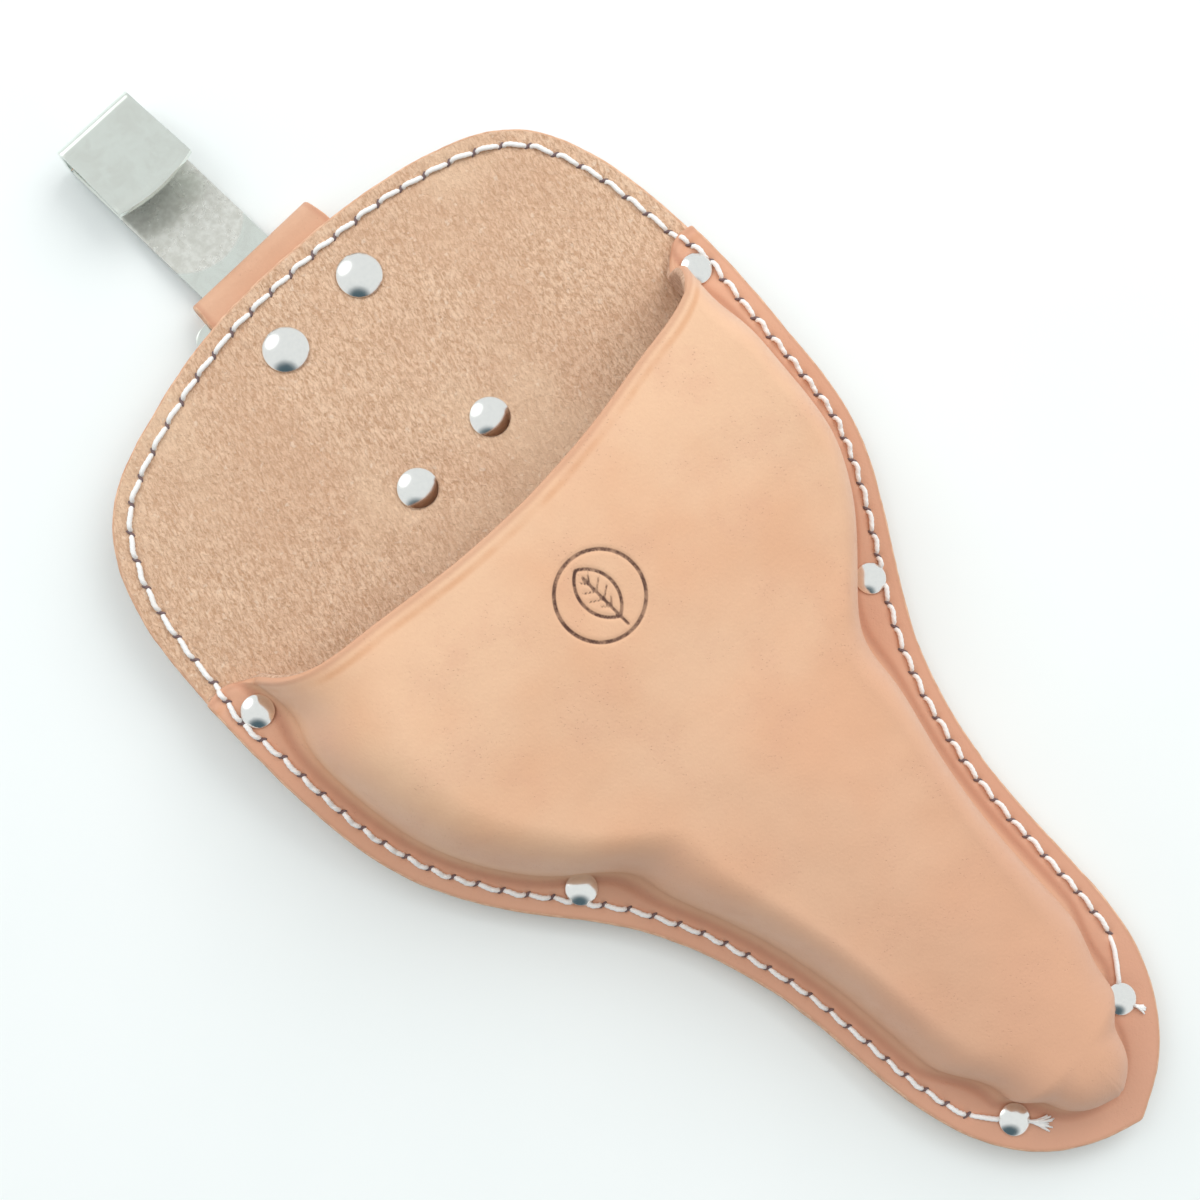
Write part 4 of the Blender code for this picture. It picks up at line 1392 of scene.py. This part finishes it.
def front_stitches():
    random = np.random.default_rng(SEED + 1)
    tubes = []
    for i in range(len(HOLES) - 1):
        a, b = HOLES[i], HOLES[i + 1]
        tubes.append(stitch(a, b, front_height(a), front_height(b), 1, random))
    mesh = tubes_mesh("front_stitches", tubes)
    return add_piece("front_stitches", mesh, "thread_white", THREAD, replaces=["seam_thread_front"])


def back_stitches(name, node, left):
    """The same holes seen from behind, on one side of the strap."""
    random = np.random.default_rng(SEED + (2 if left else 3))
    tubes = []
    for i in range(len(HOLES) - 1):
        a, b = HOLES[i], HOLES[i + 1]
        middle = (a + b) / 2
        behind_strap = middle[1] > 90 and STRAP_X[0] - 1.5 < middle[0] < STRAP_X[1] + 1.5
        if behind_strap or (middle[0] < SPINE_X) != left:
            continue
        tubes.append(stitch(a, b, back_height(a), back_height(b), -1, random))
    mesh = tubes_mesh(name, tubes)
    return add_piece(name, mesh, "thread_white", THREAD, replaces=[node])


def needle_holes(name, height_of, side):
    """Dark lens-shaped slits of painted shade where the thread goes in, set across the seam: they stand for
    the shadow inside each needle hole.
    """
    random = np.random.default_rng(SEED + 4)
    tubes = []
    for hole, out, along in zip(HOLES, HOLE_OUT, HOLE_ALONG):
        lean = out + along * 0.8
        lean = lean / np.linalg.norm(lean)
        length = random.normal(0.98, 0.08)
        t = np.linspace(-1, 1, 9)
        plan = hole + np.outer(t * length, lean)
        lens = np.sqrt(np.maximum(1 - t**2, 0.02))
        z = np.full(len(t), height_of(hole) - side * 0.27)
        tubes.append((np.column_stack([plan, z]), 0.34 * lens, 0.26 * lens, 0.0))
    mesh = tubes_mesh(name, tubes, sides=8)
    return add_piece(name, mesh, "thread_white", NEEDLE_HOLE_SHADE)


def back_height(place):
    return float(panel_top(place[1])) - PANEL_THICK


def tuft(name, rivet_name, towards, spread, reach, count, bunch):
    """A cut thread end that sticks out from under a rivet cap and fans into fibres."""
    random = np.random.default_rng(SEED + count)
    rivet = RIVETS["seam_rivet_" + rivet_name]
    towards = unit(np.array(towards, float))
    across = np.array([-towards[1], towards[0]])
    start = rivet["at"] + towards * (rivet["radius"] - 0.3)
    level = front_height(rivet["at"]) + 0.25
    tubes = []
    t = np.linspace(0, 1, 8)
    for k in range(count):
        turn = spread * (2 * (k + 0.5) / count - 1) + random.normal(0, 0.07)
        long = reach * random.normal(1, 0.13)
        path = start + np.outer(t * long, towards) + np.outer(long * turn * t**1.4, across)
        z = level + bunch * np.sin(math.pi * t) * random.normal(0.7, 0.3) + random.normal(0, 0.06)
        thin = 0.34 * (1 - 0.45 * t)
        tubes.append((np.column_stack([path, z]), thin, thin, 1.5))
    mesh = tubes_mesh(name, tubes, sides=7)
    return add_piece(name, mesh, "thread_white", THREAD)


# ---------------------------------------------------------------- stage and light

def make_stage():
    bm = bmesh.new()
    bmesh.ops.create_grid(bm, x_segments=1, y_segments=1, size=3.0)
    mesh = bpy.data.meshes.new("floor")
    bm.to_mesh(mesh)
    bm.free()
    mesh.materials.append(floor_look())
    floor = bpy.data.objects.new("floor", mesh)
    floor.location.z = -FLOOR_DROP * MM
    bpy.context.scene.collection.objects.link(floor)


def area_light(name, direction, distance, size, power, colour=(1.0, 1.0, 1.0)):
    """A soft square light that looks at the holster from a direction."""
    light = bpy.data.lights.new(name, "AREA")
    light.size = size
    light.energy = power
    light.color = colour
    ob = bpy.data.objects.new(name, light)
    towards = Vector(direction).normalized()
    ob.location = towards * distance
    ob.rotation_euler = towards.to_track_quat("Z", "Y").to_euler()
    ob.visible_glossy = False
    bpy.context.scene.collection.objects.link(ob)


def lobe(nodes, links, direction, towards, near, far, colour):
    """Light of one colour from round about a direction, falling off between two cosines."""
    dot = nodes.new("ShaderNodeVectorMath")
    dot.operation = "DOT_PRODUCT"
    dot.inputs[1].default_value = Vector(towards).normalized()
    links.new(direction, dot.inputs[0])
    ramp = nodes.new("ShaderNodeValToRGB")
    ramp.color_ramp.interpolation = "EASE"
    ramp.color_ramp.elements[0].position = far
    ramp.color_ramp.elements[0].color = (0, 0, 0, 1)
    ramp.color_ramp.elements[1].position = near
    ramp.color_ramp.elements[1].color = (*colour, 1)
    links.new(dot.outputs["Value"], ramp.inputs["Fac"])
    return ramp.outputs["Color"]


def make_light():
    """A bright even room, brighter beyond the clip and dark low down behind the viewer."""
    world = bpy.data.worlds.new("room")
    bpy.context.scene.world = world
    world.use_nodes = True
    nodes, links = world.node_tree.nodes, world.node_tree.links
    direction = nodes.new("ShaderNodeTexCoord").outputs["Generated"]
    bright = lobe(nodes, links, direction, (-0.12, 0.86, 0.48), 0.975, 0.90, (0.8, 0.8, 0.8))
    dark = lobe(nodes, links, direction, (-0.70, -0.60, 0.42), 0.965, 0.72, (0.80, 0.775, 0.745))
    room = (0.88, 0.905, 0.90, 1)
    for blend, light in (("ADD", bright), ("SUBTRACT", dark)):
        mix = nodes.new("ShaderNodeMix")
        mix.data_type = "RGBA"
        mix.blend_type = blend
        mix.inputs["Factor"].default_value = 1.0
        if isinstance(room, tuple):
            mix.inputs[6].default_value = room
        else:
            links.new(room, mix.inputs[6])
        links.new(light, mix.inputs[7])
        room = mix.outputs[2]
    links.new(room, nodes["Background"].inputs["Color"])
    nodes["Background"].inputs["Strength"].default_value = 0.86
    area_light("window_right", (0.75, 0.15, 0.75), 0.95, 0.7, 3.4)
    area_light("window_top", (-0.15, 0.75, 0.9), 1.0, 0.6, 2.2, (0.96, 0.98, 1.0))
    bpy.context.scene.view_settings.view_transform = "Standard"


# ---------------------------------------------------------------- the whole

make_stage()
make_light()
panel_piece()
pocket_piece()
strap_piece()
clip_piece()
for rivet_name, rivet_place in RIVETS.items():
    rivet_cap(rivet_name, rivet_place)
    rivet_base(rivet_name, rivet_place)
front_stitches()
back_stitches("back_stitches_left", "seam_thread_back_left", left=True)
back_stitches("back_stitches_right", "seam_thread_back_right", left=False)
# Painted shade in the needle holes, on the front and on the back.
needle_holes("needle_holes_front", front_height, 1)
needle_holes("needle_holes_back", back_height, -1)
tuft("thread_end_right", "tip_right", (0.35, -1.0), 0.36, 2.1, 14, 0.2)
tuft("thread_end_left", "tip_left", (0.75, -1.0), 0.42, 3.9, 18, 0.6)
